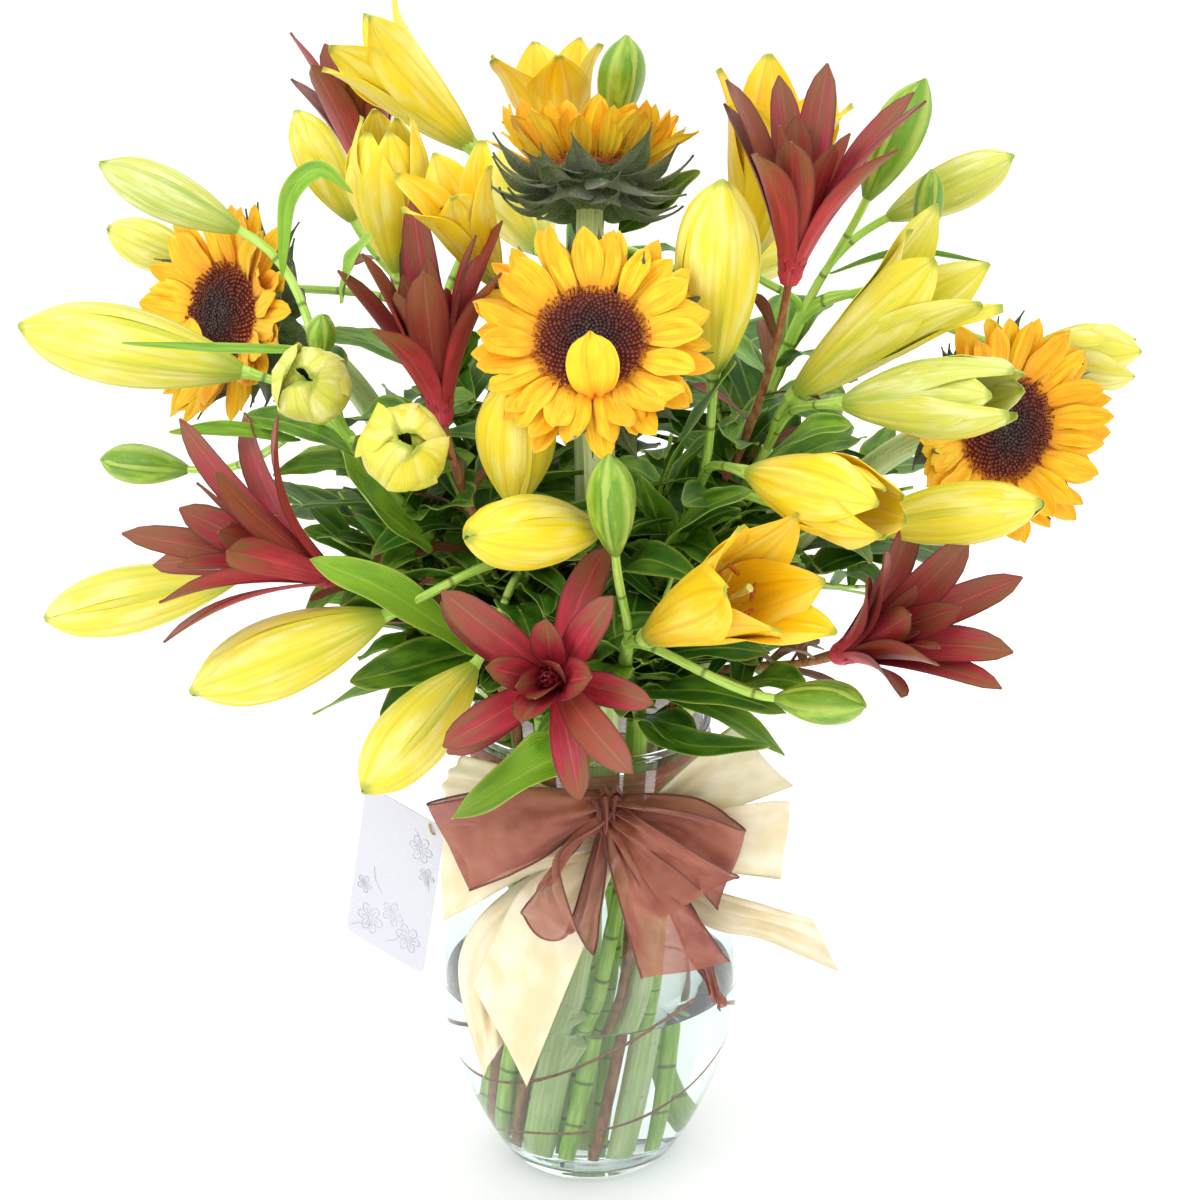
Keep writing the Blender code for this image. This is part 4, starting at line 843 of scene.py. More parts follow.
def satin_finish():
    """Cream satin: a fine twill that runs along the ribbon, a soft sheen and a tight woven edge."""
    f = Finish("satin_cream", Sheen_Weight=0.35, Sheen_Roughness=0.35, Specular_IOR_Level=0.6,
               Anisotropic=0.5)
    wide = f.maths("ABSOLUTE", f.value("across"))
    twill = f.add("TexWave", {"Vector": f.grain(26.0, 900.0), "Scale": 1.0, "Distortion": 0.4},
                  bands_direction="DIAGONAL").outputs["Fac"]
    cloud = f.noise(f.grain(1.2, 40.0), 1.0)
    colour = f.mix(f.fade(cloud, 0.3, 0.7), paint(232, 216, 172), paint(250, 241, 214))
    colour = f.mix(f.fade(twill, 0.0, 1.0, 0.14, 0.0), colour, paint(206, 182, 126))
    colour = f.mix(f.fade(wide, 0.955, 0.975, 0.0, 0.4), colour, paint(212, 190, 138))
    return f.done(colour, f.fade(twill, 0.0, 1.0, 0.30, 0.38), f.bump(twill, 0.0001, 0.25))


def organza_finish():
    """Brown organza: crossing fine threads with open holes between, so the layer behind shows."""
    f = Finish("organza_brown", Sheen_Weight=0.6, Sheen_Roughness=0.3, Specular_IOR_Level=0.5)
    warp = f.add("TexWave", {"Vector": f.grain(20.0, 0.0), "Scale": 3.0}).outputs["Fac"]
    weft = f.add("TexWave", {"Vector": f.grain(0.0, 1000.0), "Scale": 1.0},
                 bands_direction="Y").outputs["Fac"]
    thread = f.maths("MAXIMUM", warp, weft)
    cloud = f.noise(f.grain(1.5, 60.0), 1.0)
    colour = f.mix(f.fade(cloud, 0.3, 0.7), paint(176, 92, 74), paint(208, 132, 108))
    colour = f.mix(f.fade(thread, 0.2, 0.9), paint(132, 62, 48), colour)
    f.fill(f.shader, {"Alpha": f.fade(thread, 0.1, 0.8, 0.24, 0.62)})
    return f.done(colour, f.fade(thread, 0.0, 1.0, 0.5, 0.36), f.bump(thread, 0.0001, 0.3))


def thread_finish(name, first, second, shine, metal=0.0):
    """Twisted thread or wire-edged binding."""
    f = Finish(name, Metallic=metal, Specular_IOR_Level=0.5, Sheen_Weight=0.2)
    twist = f.add("TexWave", {"Vector": f.grain(1.5, 900.0), "Scale": 1.0, "Distortion": 0.6},
                  bands_direction="DIAGONAL").outputs["Fac"]
    return f.done(f.mix(twist, first, second), f.fade(twist, 0, 1, shine, shine + 0.15),
                  f.bump(twist, 0.0002, 0.6))


def card_finish():
    """White card with faint fibres, painted light grey all over as painted shade."""
    f = Finish("card_white", Specular_IOR_Level=0.35)
    fibre = f.noise(f.object_space(), 2600, 4.0)
    cloud = f.noise(f.object_space(), 60)
    # The card's white is painted light grey: painted shade.
    colour = f.mix(f.fade(fibre, 0.35, 0.7), paint(206, 207, 216), paint(217, 218, 225))
    return f.done(colour, f.fade(cloud, 0.3, 0.7, 0.42, 0.55), f.bump(fibre, 0.00008, 0.35))


# Vase and water


def vase_radius(height):
    """The vase's outer radius: foot, belly, neck and rim joined by smooth curves."""
    share = min(max(height / VASE_HEIGHT, 0.0), 1.0)
    if share <= BELLY_SHARE:
        swell = math.sin(math.pi / 2 * share / BELLY_SHARE) ** 0.75
        return FOOT_RADIUS + (BELLY_RADIUS - FOOT_RADIUS) * swell
    if share <= NECK_SHARE:
        part = (share - BELLY_SHARE) / (NECK_SHARE - BELLY_SHARE)
        return BELLY_RADIUS + (NECK_RADIUS - BELLY_RADIUS) * part * part * (3 - 2 * part)
    part = (share - NECK_SHARE) / (1 - NECK_SHARE)
    return NECK_RADIUS + (RIM_RADIUS - NECK_RADIUS) * part * part


def lathe(name, outline, finish, replaces, steps=96):
    """A piece turned from (radius, height) pairs that run from the axis, round and back to it."""
    shape = Shape()
    (_, bottom), *middle, (_, top) = outline
    rings = [[polar(radius, 360 * k / steps, height) for k in range(steps)] for radius, height in middle]
    count = len(rings)
    shape.skin(rings, [abs(2 * k / steps - 1) for k in range(steps)], [i / count for i in range(count)],
               caps=False)
    for place, height, row in ((0, bottom, 0), (1, top, count - 1)):
        shape.points.append(Vector((0, 0, height)))
        shape.across.append(0.0)
        shape.along.append(float(place))
        shape.tint.append(0.5)
        pole = len(shape.points) - 1
        shape.faces += [(pole, row * steps + k, row * steps + (k + 1) % steps) for k in range(steps)]
        shape.looks += [0] * steps
    return shape.solid(name, [finish], replaces, smooth_angle=40)


def make_vase():
    """The vase: a thick foot with a shallow hollow under it, an even wall and a rounded rim."""
    rise = [(i / 60) ** 1.25 for i in range(61)]
    outside = [VASE_HEIGHT * share for share in rise if 0.012 < share < 0.985]
    foot = [(FOOT_RADIUS * share, 0.0012 * (1 - share * share)) for share in (0.25, 0.5, 0.7, 0.84)]
    foot += [(FOOT_RADIUS - 0.0032, 0.0), (FOOT_RADIUS - 0.0012, 0.0003), (FOOT_RADIUS + 0.0009, 0.0016)]
    wall = [(vase_radius(height), height) for height in outside]
    lip = [(RIM_RADIUS - GLASS_WALL / 2 + 0.0021 * math.cos(a), VASE_HEIGHT - 0.0021 + 0.0021 * math.sin(a))
           for a in (math.radians(d) for d in (-40, 0, 35, 65, 90, 115, 145, 180, 220))]
    inside = [(vase_radius(height) - GLASS_WALL, height) for height in reversed(outside)
              if height > FLOOR_THICKNESS + 0.006]
    floor = [(FOOT_RADIUS + 0.0035, FLOOR_THICKNESS + 0.0028),
             (FOOT_RADIUS - 0.002, FLOOR_THICKNESS + 0.0006)]
    floor += [(FOOT_RADIUS * share, FLOOR_THICKNESS - 0.0004 * (1 - share))
              for share in (0.8, 0.55, 0.3, 0.1)]
    outline = [(0, 0.0012)] + foot + wall + lip + inside + floor + [(0, FLOOR_THICKNESS - 0.0004)]
    lathe("vase_glass", outline, glass_finish(), "vase")


def make_water():
    """The water: it wets the glass a little above its level."""
    skin = GLASS_WALL - 0.0002
    heights = [FLOOR_THICKNESS + 0.006 + (WATER_LEVEL - FLOOR_THICKNESS - 0.006) * i / 30
               for i in range(31)]
    wall = [(FOOT_RADIUS * 0.6, FLOOR_THICKNESS - 0.0003), (FOOT_RADIUS * 0.9, FLOOR_THICKNESS),
            (FOOT_RADIUS + 0.002, FLOOR_THICKNESS + 0.0024)]
    wall += [(vase_radius(height) - skin, height) for height in heights]
    edge = vase_radius(WATER_LEVEL) - skin
    wall += [(edge, WATER_LEVEL + 0.0014), (edge - 0.0006, WATER_LEVEL + 0.0007),
             (edge - 0.0018, WATER_LEVEL + 0.0001),
             (edge - 0.004, WATER_LEVEL - 0.0002), (edge * 0.6, WATER_LEVEL - 0.0003)]
    outline = [(0, FLOOR_THICKNESS - 0.0003)] + wall + [(0, WATER_LEVEL - 0.0003)]
    lathe("vase_water", outline, water_finish(), "water")


# Stems and leaves


def stem_path(name, end, end_direction):
    """The stem's line: straight from its foot to the neck, past the rim, then bending to its end."""
    ring, direction = SLOTS[name]
    foot = polar(ring * FOOT_SPREAD, direction + FOOT_TWIST, STEM_FOOT_HEIGHT)
    neck = polar(ring, direction, VASE_HEIGHT * NECK_SHARE)
    rim = polar(ring * RIM_RADIUS / NECK_RADIUS, direction, VASE_HEIGHT + RIM_POINT_HEIGHT)
    leave = Vector((3 * (end.x - rim.x), 3 * (end.y - rim.y), 1))
    straight = [foot.lerp(neck, i / 20) for i in range(20)]
    curve = (rim, leave, end, end_direction)
    return straight + [neck, neck.lerp(rim, 0.5)] + bend(*curve, 24), bend(*curve, 7)


def cut_end(radius, last=1.0):
    """A stem's radius along its length: a clean cut below, an even stem, and its top as a share."""
    return lambda share: radius * (0.93 if share == 0 else 1 - (1 - last) * share)


def joints(tint, height=0.10):
    """Slight swellings where leaves have been stripped from a stem."""
    def relief(run, _):
        place = ((run + tint) / NODE_SPACING) % 1 - 0.5
        return height * math.exp(-((place / 0.06) ** 2))
    return relief


def leaf_line(grown, share, direction, rise, length, droop):
    """A leaf's middle: from its share of the stem, out in a direction and a rise, drooping to its tip."""
    place = share * (len(grown) - 1)
    start = grown[int(place)].lerp(grown[int(place) + 1], place % 1)
    way = polar(math.cos(math.radians(rise)), direction, math.sin(math.radians(rise)))
    return [start + way * (length * t) - Vector((0, 0, droop * length * t * t)) for t in (0, 0.35, 0.7, 1)]


def table_leaves(shape, name, grown, look, rng, curl=0.45, shade=0.35):
    """The leaves that the table gives this stem."""
    for share, direction, rise, length, width in STEM_LEAVES.get(name, []):
        points = leaf_line(grown, share, direction, rise, length / 1000, 0.35)
        shape.leaf(points, width / 1000, UP, shade + rng.uniform(-0.2, 0.3), look, curl,
                   rng.uniform(0.02, 0.05), rng.uniform(-0.6, 0.6))


def among_flowers(points):
    """Whether a leaf's line comes too near a flower, where it would show through the petals."""
    heads = [(base, tip, width / 2000 + LILY_ROOM) for _, _, base, tip, width, _ in LILY_BLOOMS.values()]
    heads += [(place, place, SUNFLOWER_ROOM) for place, *_ in SUNFLOWERS.values()]
    for base, tip, room in heads:
        base, tip = from_mouth(base), from_mouth(tip)
        for point in points:
            share = (point - base).dot(tip - base) / max((tip - base).length_squared, 1e-9)
            if (point - base.lerp(tip, min(max(share, 0.0), 1.0))).length < room:
                return True
    return False


def side_shoots(shape, name, grown, look, rng):
    """Leafy shoots that fill the bouquet's sides and back."""
    for i, tip in enumerate(SIDE_SHOOTS.get(name, [])):
        start, tip = grown[1 + i % 2].lerp(grown[2 + i % 2], 0.3), from_mouth(tip)
        line = bend(start, grown[3] - grown[1], tip, tip - start, 8)
        shape.stalk(line, lambda s: 0.0019 * (1 - 0.5 * s), 8, rng.uniform(0, 0.02), 0)
        whorl_leaves(shape, line, look, rng, SHOOT_LEAF_COUNT)


def whorl_leaves(shape, grown, look, rng, count):
    """Smaller leaves that spiral up a stem between the ones in the table."""
    turn = rng.uniform(0, 360)
    for i in range(count):
        share = 0.04 + 0.90 * i / count
        turn += LEAF_TURN
        rise, length, droop = rng.uniform(20, 65), rng.uniform(0.052, 0.090), rng.uniform(0.2, 0.5)
        points = leaf_line(grown, share, turn, rise, length, droop)
        if max(abs(points[-1].x), abs(points[-1].y) + 0.06) > LEAF_LIMIT or among_flowers(points[1:]):
            continue
        shape.leaf(points, rng.uniform(0.016, 0.027), UP, rng.uniform(0.0, 0.55), look,
                   rng.uniform(0.3, 0.8), rng.uniform(0.02, 0.06), rng.uniform(-0.8, 0.8), steps=13,
                   count=7)


def tepal(shape, frame, length, half, form, angle, inner, rng, tint, look=0, steps=18):
    """One of a lily's six petals, from the flower's base to its tip."""
    rules = FORMS[form]
    lift = rng.uniform(-1, 1) * rules["spread"]
    size = rng.uniform(0.96, 1.0) if form == "bud" else rng.uniform(0.92, 1.02)
    lean = rng.uniform(-0.10, 0.10) * rules["spread"] * 3
    line = []
    for i in range(steps):
        share = (i / (steps - 1)) ** 0.9
        reach = half * profile(rules["reach"], share) * (0.93 if inner else 1.0)
        line.append((share, reach + half * lift * share ** 3, length * size * share))
    turn = frame @ Matrix.Rotation(angle, 4, "Z")
    spin = turn.to_3x3()
    stations = []
    for i, (share, reach, height) in enumerate(line):
        low, high = line[max(i - 1, 0)], line[min(i + 1, steps - 1)]
        ahead = Vector((high[1] - low[1], 0, high[2] - low[2])).normalized()
        up = Vector((ahead.z, 0, -ahead.x))
        middle = Vector((reach, length * lean * share ** 2, height))
        breadth = half * profile(rules["breadth"], share) * (0.94 if form == "bud" and not inner else 1.0)
        curl = -1 / max(reach * rules["bend"], half * 0.16)
        if form != "bud":
            curl *= 1 - 0.55 * share ** 2
        stations.append((turn @ middle, spin @ Vector((0, -1, 0)), spin @ up, breadth, curl, share))
    keel = half * (0.075 if form == "bud" else 0.05)
    wave = 0.0 if form == "bud" else half * 0.07
    phase = rng.uniform(0, 6)

    def relief(s, share):
        belly = math.sin(math.pi * min(share * 1.05, 1)) ** 0.7
        groove = keel * 0.75 * math.exp(-(((abs(s) - 0.33) / 0.13) ** 2))
        ridge = keel * math.exp(-((s / 0.14) ** 2)) - groove
        return belly * ridge + wave * s * s * share * math.sin(share * 13 + phase + 2 * s)

    shape.thin(stations, 0.0011, relief, tint, look)


def stamens(shape, frame, length, half, rng):
    """Six stamens with rust-coloured anthers round a green pistil."""
    for k in range(6):
        angle = 60 * k + rng.uniform(-8, 8)
        out = polar(1, angle, 0)
        tip = out * half * 0.42 + Vector((0, 0, length * rng.uniform(0.60, 0.68)))
        line = bend(Vector((0, 0, length * 0.08)), out * 0.2 + Vector((0, 0, 1)), tip,
                    out + Vector((0, 0, 1)), 8)
        shape.stalk([frame @ p for p in line], lambda s: 0.00055 - 0.0002 * s, 6, 0.4, 1)
        cross = Vector((0, 0, 1)).cross(out) * 0.8 + out * 0.3 + Vector((0, 0, 0.3))
        ends = [tip + cross.normalized() * 0.0045 * t for t in (-1, -0.7, 0, 0.7, 1)]
        shape.stalk([frame @ p for p in ends], lambda s: 0.0012 * math.sin(math.pi * (0.12 + 0.76 * s)), 8,
                    0.5, 2)
    line = [frame @ Vector((0.0006 * i, 0, length * (0.1 + 0.62 * i / 7))) for i in range(8)]
    shape.stalk(line, lambda s: 0.0009 if s < 0.9 else 0.0021, 8, 0.6, 1)


def whorl(start, petal):
    """Three inner and three outer petals, each at its own angle."""
    for inner in (True, False):
        for k in range(3):
            petal(start + math.tau * k / 3 + (math.pi / 3 if inner else 0), inner)


def make_bloom(key, looks):
    """One lily flower with its petals, its stamens where they show and the cup on its stalk."""
    _, form, base, tip, width, green = LILY_BLOOMS[key]
    rng = random.Random("bloom " + key)
    base, tip = from_mouth(base), from_mouth(tip)
    length, half = (tip - base).length, width / 2000
    frame = facing(base, tip - base)
    shape = Shape()

    def petal(angle, inner):
        tint = min(max(green + rng.uniform(-0.07, 0.07), 0.0), 1.0)
        tepal(shape, frame, length, half, form, angle, inner, rng, tint)

    whorl(rng.uniform(0, math.tau), petal)
    if FORMS[form]["stamens"]:
        stamens(shape, frame, length, half, rng)
    cup = [frame @ Vector((0, 0, length * z)) for z in (-0.035, -0.01, 0.02, 0.05)]
    shape.stalk(cup, lambda s: half * 0.17 + half * 0.06 * s, 12, 0.5, 3)
    shape.solid("lily_" + form + "_" + key, looks, "lily_bloom_" + key)


def green_bud(shape, base, tip, half, rng, look):
    """A small closed bud on a stem: three petals whose edges meet in shallow seams."""
    frame, length = facing(base, tip - base), (tip - base).length
    whorl(rng.uniform(0, 2),
          lambda angle, inner: tepal(shape, frame, length, half, "bud", angle, inner, rng, 0.5, look, 14))


def make_lily_stem(name, looks):
    """A lily's stem with its leaves, its green buds and the stalks of its flowers."""
    rng = random.Random(name)
    end, buds = LILY_STEMS[name]
    end = from_mouth(end)
    path, grown = stem_path(name, end, end - MOUTH + Vector((0, 0, 0.05)))
    top = (path[-1] - path[-2]).normalized()
    shape = Shape()
    tint = rng.uniform(0, 0.02)
    shape.stalk(path, cut_end(LILY_STEM_RADIUS, 0.8), 16, tint, 0, joints(tint))
    ends = [(base, tip, width) for stem, _, base, tip, width, _ in LILY_BLOOMS.values() if stem == name]
    for i, (base, tip, width) in enumerate(ends + buds):
        base, tip, half = from_mouth(base), from_mouth(tip), width / 2000
        axis = (tip - base).normalized()
        start = end - top * LILY_STEM_RADIUS * (1.2 + i / 2)
        line = bend(start, top, base + axis * 0.0008, axis, 14)
        flare = half * 0.19 / PEDICEL_RADIUS
        shape.stalk(line, lambda s: PEDICEL_RADIUS * (1 + (flare - 1) * max(0.0, s * 6 - 5)), 10,
                    rng.uniform(0, 0.02), 0)
    for base, tip, width in buds:
        green_bud(shape, from_mouth(base), from_mouth(tip), width / 2000, rng, 2)
    table_leaves(shape, name, grown, 1, rng)
    whorl_leaves(shape, grown, 1, rng, STEM_LEAF_COUNT)
    side_shoots(shape, name, grown, 1, rng)
    shape.solid(name + "_grown", looks, name)


def make_single_leaves(looks):
    """The leaves that show one by one between the flowers."""
    for name, (points, width, shade) in SINGLE_LEAVES.items():
        rng = random.Random(name)
        shape = Shape()
        shape.leaf([from_mouth(p) for p in points], width / 1000 * 1.15, Vector((0, -0.55, 0.83)), shade, 0,
                   rng.uniform(0.35, 0.6), 0.03, rng.uniform(-0.35, 0.35), steps=26, count=13,
                   thickness=0.0009)
        shape.solid(name, looks)


# Sunflowers


def bowed(radius, height, length, rise, fall, steps):
    """A line in the XZ plane that leaves (radius, height) at one angle and arrives at another."""
    line = [Vector((radius, 0, height))]
    for i in range(1, steps):
        angle = math.radians(rise + (fall - rise) * (i - 0.5) / (steps - 1))
        line.append(line[-1] + Vector((math.cos(angle), 0, math.sin(angle))) * (length / (steps - 1)))
    return line


def bladed(shape, frame, line, angle, half, form, curl, relief, tint, look, thickness, count=7, drift=0.0):
    """A ray or bract: a blade whose middle follows line, turned about the head's axis."""
    turn = frame @ Matrix.Rotation(angle, 4, "Z")
    spin = turn.to_3x3()
    last = len(line) - 1
    stations = []
    for i, point in enumerate(line):
        share = i / last
        ahead = (line[min(i + 1, last)] - line[max(i - 1, 0)]).normalized()
        up = Vector((-ahead.z, 0, ahead.x))
        middle = point + Vector((0, drift * share * share, 0))
        bent = curl(share) if callable(curl) else curl
        stations.append((turn @ middle, spin @ Vector((0, 1, 0)), spin @ up, half * profile(form, share),
                         bent, share))
    shape.thin(stations, thickness, relief, tint, look, count)


def make_rays(name, frame, rises, folded, finish):
    """The head's rays in three rows, each with its own curl, crease and length."""
    rng = random.Random(name + " rays")
    shape = Shape()
    for row, (count, radius, height, stretch) in enumerate(RAY_ROWS):
        for k in range(count):
            angle = math.tau * (k + row * 0.5) / count + rng.uniform(-0.07, 0.07)
            length = (SUNFLOWER_RADIUS + 0.001 - radius) * stretch * rng.uniform(0.90, 1.06)
            rise = rises[0] + (2 - row) * 7 + rng.uniform(-7, 7)
            fall = rises[1] + (2 - row) * 5 + rng.uniform(-34, 26)
            half = rng.uniform(0.0058, 0.0078)
            pinch, phase = rng.uniform(-0.9, 1.2), rng.uniform(0, 6)

            def relief(s, share, phase=phase):
                creases = 0.00055 * math.cos(s * 9.4) * math.sin(math.pi * share) ** 0.6
                return creases + 0.0010 * s * s * share * math.sin(share * 11 + phase + s)

            line = bowed(radius, height, length, rise, fall, 12)
            bladed(shape, frame, line, angle, half, RAY, pinch / half, relief, rng.uniform(0.15, 0.85), 0,
                   0.0006, drift=rng.uniform(-0.005, 0.005))
    if folded is not None:
        line = bowed(0.0275, 0.0030, 0.036, 84, 196, 14)
        bladed(shape, frame, line, math.radians(folded), 0.0120, RAY, -20,
               lambda s, t: 0.0011 * math.cos(s * 7),
               0.75, 0, 0.0007, 13)
    shape.solid(name + "_rays", [finish], name + "_petals")


def floret_seed(finish):
    """One floret: a five-sided tube that flares into a small star. It is only copied, never shown."""
    shape = Shape()
    sizes = ((0.00045, 0.0), (0.00042, 0.0012), (0.00050, 0.0019), (0.00078, 0.0024), (0.00030, 0.0021))
    rings = [[polar(radius * (1.25 if k % 2 == 0 and i == 3 else 0.9), 36 * k, height) for k in range(10)]
             for i, (radius, height) in enumerate(sizes)]
    shape.skin(rings, [0.5] * 10, [i / 4 for i in range(5)])
    mesh = bpy.data.meshes.new("floret_seed")
    mesh.from_pydata(shape.points, [], shape.faces)
    tall = mesh.attributes.new("tall", "FLOAT", "POINT")
    tall.data.foreach_set("value", shape.along)
    mesh.materials.append(finish)
    tidy(mesh)
    return show(bpy.data.objects.new("floret_seed", mesh))


class Tree:
    """A Geometry Nodes tree under construction, with named inputs."""

    def __init__(self, name, **inputs):
        self.group = bpy.data.node_groups.new(name, "GeometryNodeTree")
        self.group.interface.new_socket("Geometry", in_out="INPUT", socket_type="NodeSocketGeometry")
        self.sockets = {}
        for key, (kind, value) in inputs.items():
            socket = self.group.interface.new_socket(key, in_out="INPUT", socket_type="NodeSocket" + kind)
            if value is not None:
                socket.default_value = value
            self.sockets[key] = socket.identifier
        self.group.interface.new_socket("Geometry", in_out="OUTPUT", socket_type="NodeSocketGeometry")
        self.source = self.group.nodes.new("NodeGroupInput")
        self.sink = self.group.nodes.new("NodeGroupOutput")

    def input(self, name):
        return self.source.outputs[name]

    def add(self, kind, inputs=None, **settings):
        node = self.group.nodes.new(kind)
        for key, value in settings.items():
            setattr(node, key, value)
        for key, value in (inputs or {}).items():
            if isinstance(value, bpy.types.NodeSocket):
                self.group.links.new(value, node.inputs[key])
            else:
                node.inputs[key].default_value = value
        return node

    def maths(self, operation, *values):
        return self.add("ShaderNodeMath", dict(enumerate(values)), operation=operation).outputs[0]

    def finish(self, geometry, material):
        """Ends the tree: copies made real, then their material."""
        real = self.add("GeometryNodeRealizeInstances", {"Geometry": geometry}).outputs[0]
        looked = self.add("GeometryNodeSetMaterial", {"Geometry": real, "Material": material}).outputs[0]
        self.group.links.new(looked, self.sink.inputs["Geometry"])

    def grown_on(self, mesh, name, **values):
        """What the tree makes of mesh, as a plain mesh."""
        holder = show(bpy.data.objects.new(name, mesh))
        modifier = holder.modifiers.new("grow", "NODES")
        modifier.node_group = self.group
        for key, value in values.items():
            modifier[self.sockets[key]] = value
        bpy.context.view_layer.update()
        made = bpy.data.meshes.new_from_object(holder.evaluated_get(bpy.context.evaluated_depsgraph_get()))
        bpy.data.objects.remove(holder)
        made.name = name
        return made


def floret_tree(finish, seed):
    """Florets on a dome in the spiral that a sunflower's disc follows, taller and more open at its edge."""
    tree = Tree("disc_florets", Count=("Int", FLORET_COUNT), Radius=("Float", DISC_RADIUS),
                Dome=("Float", 0.006))
    index = tree.add("GeometryNodeInputIndex").outputs[0]
    count, radius = tree.input("Count"), tree.input("Radius")
    share = tree.maths("SQRT", tree.maths("DIVIDE", tree.maths("ADD", index, 0.5), count))
    angle = tree.maths("MULTIPLY", index, GOLDEN_ANGLE)
    reach = tree.maths("MULTIPLY", share, radius)
    x = tree.maths("MULTIPLY", reach, tree.maths("COSINE", angle))
    y = tree.maths("MULTIPLY", reach, tree.maths("SINE", angle))
    fall = tree.maths("MULTIPLY", tree.maths("POWER", share, 2.6), tree.input("Dome"))
    dip = tree.maths("MULTIPLY", tree.maths("POWER", tree.maths("SUBTRACT", 1.0, share), 3.0), 0.0022)
    z = tree.maths("SUBTRACT", tree.maths("SUBTRACT", tree.input("Dome"), fall), dip)
    place = tree.add("ShaderNodeCombineXYZ", {0: x, 1: y, 2: z}).outputs[0]
    points = tree.add("GeometryNodePoints", {"Count": count, "Position": place}).outputs[0]
    stored = tree.add("GeometryNodeStoreNamedAttribute",
                      {"Geometry": points, "Name": "along", "Value": share},
                      data_type="FLOAT", domain="POINT").outputs[0]
    lean = tree.maths("MULTIPLY", tree.maths("POWER", share, 3.0), 42.0)
    way = tree.add("ShaderNodeCombineXYZ", {0: tree.maths("MULTIPLY", x, lean),
                                            1: tree.maths("MULTIPLY", y, lean),
                                            2: 1.0}).outputs[0]
    turn = tree.add("FunctionNodeAlignRotationToVector", {"Vector": way}, axis="Z").outputs[0]
    wild = tree.add("FunctionNodeRandomValue", {"Min": 0.60, "Max": 1.05, "Seed": 7}, data_type="FLOAT")
    wide = next(o for o in wild.outputs if o.enabled)
    swell = tree.maths("MULTIPLY", tree.maths("POWER", share, 2.0), 1.5)
    tall = tree.maths("MULTIPLY", wide, tree.maths("ADD", 0.75, swell))
    size = tree.add("ShaderNodeCombineXYZ", {0: wide, 1: wide, 2: tall}).outputs[0]
    copy = tree.add("GeometryNodeObjectInfo", {"Object": seed, "As Instance": True}).outputs["Geometry"]
    copies = tree.add("GeometryNodeInstanceOnPoints", {"Points": stored, "Instance": copy, "Rotation": turn,
                                                       "Scale": size}).outputs[0]
    tree.finish(copies, finish)
    return tree


def hair_tree(finish):
    """Short hairs standing on a surface."""
    tree = Tree("stem_hairs", Density=("Float", 60000.0), Length=("Float", 0.0016), Seed=("Int", 3))
    spread = tree.add("GeometryNodeDistributePointsOnFaces", {"Mesh": tree.input("Geometry"),
                                                              "Density": tree.input("Density"),
                                                              "Seed": tree.input("Seed")})
    cone = tree.add("GeometryNodeMeshCone", {"Vertices": 3, "Radius Top": 0.00001, "Radius Bottom": 0.00006,
                                             "Depth": tree.input("Length")}).outputs["Mesh"]
    wild = tree.add("FunctionNodeRandomValue", {"Min": 0.5, "Max": 1.3, "Seed": 5}, data_type="FLOAT")
    size = next(o for o in wild.outputs if o.enabled)
    copies = tree.add("GeometryNodeInstanceOnPoints", {"Points": spread.outputs["Points"], "Instance": cone,
                                                       "Rotation": spread.outputs["Rotation"],
                                                       "Scale": size}).outputs[0]
    tree.finish(copies, finish)
    return tree


def make_disc(name, frame, tree, finish):
    """The head's disc: its florets and, under them, the dome they stand on."""
    florets = tree.grown_on(bpy.data.meshes.new("empty"), name + "_florets")
    bm = bmesh.new()
    bm.from_mesh(florets)
    bmesh.ops.transform(bm, matrix=Matrix.Translation((0, 0, 0.0012)), verts=bm.verts)
    bm.to_mesh(florets)
    bm.free()
    florets.transform(frame)
    shape = Shape()
    dome = [(0.93, -0.0005), (0.98, 0.0012), (0.86, 0.0030), (0.6, 0.0052), (0.3, 0.0060), (0.05, 0.0052)]
    rings = [[frame @ polar(DISC_RADIUS * share, 15 * k, height) for k in range(24)]
             for share, height in dome]
    shape.skin(rings, [0.5] * 24, [share for share, _ in dome])
    piece = shape.solid(name + "_seed_head", [finish], name + "_disc")
    add_piece(name + "_florets", florets)


def make_calyx(shape, frame, stem_radius, rng, look):
    """The green cup behind the rays, and three rows of hairy, thread-tipped bracts."""
    cup = [(stem_radius * 0.9, -CALYX_DEPTH - 0.002), (stem_radius * 1.3, -CALYX_DEPTH + 0.002),
           (DISC_RADIUS * 0.55, -0.0125), (DISC_RADIUS * 0.86, -0.0085), (DISC_RADIUS * 0.96, -0.0040),
           (DISC_RADIUS * 0.93, 0.0004)]
    rings = [[frame @ polar(radius, 15 * k, height) for k in range(24)] for radius, height in cup]
    shape.skin(rings, [abs(2 * k / 24 - 1) for k in range(24)], [i / 8 for i in range(6)], 0.5, look)
    for count, radius, height, length, rise, fall in CALYX_ROWS:
        for k in range(count):
            angle = math.tau * (k + height * 300) / count + rng.uniform(-0.12, 0.12)
            line = bowed(radius, height, length * rng.uniform(0.85, 1.1), rise + rng.uniform(-10, 10),
                         fall + rng.uniform(-40, 55), 12)
            half = rng.uniform(0.0082, 0.0108)
            bladed(shape, frame, line, angle, half, CALYX_BRACT, -0.5 / half,
                   lambda s, t: 0.0004 * math.exp(-((s / 0.12) ** 2)), rng.uniform(0, 1), look, 0.0008,
                   drift=rng.uniform(-0.004, 0.004))


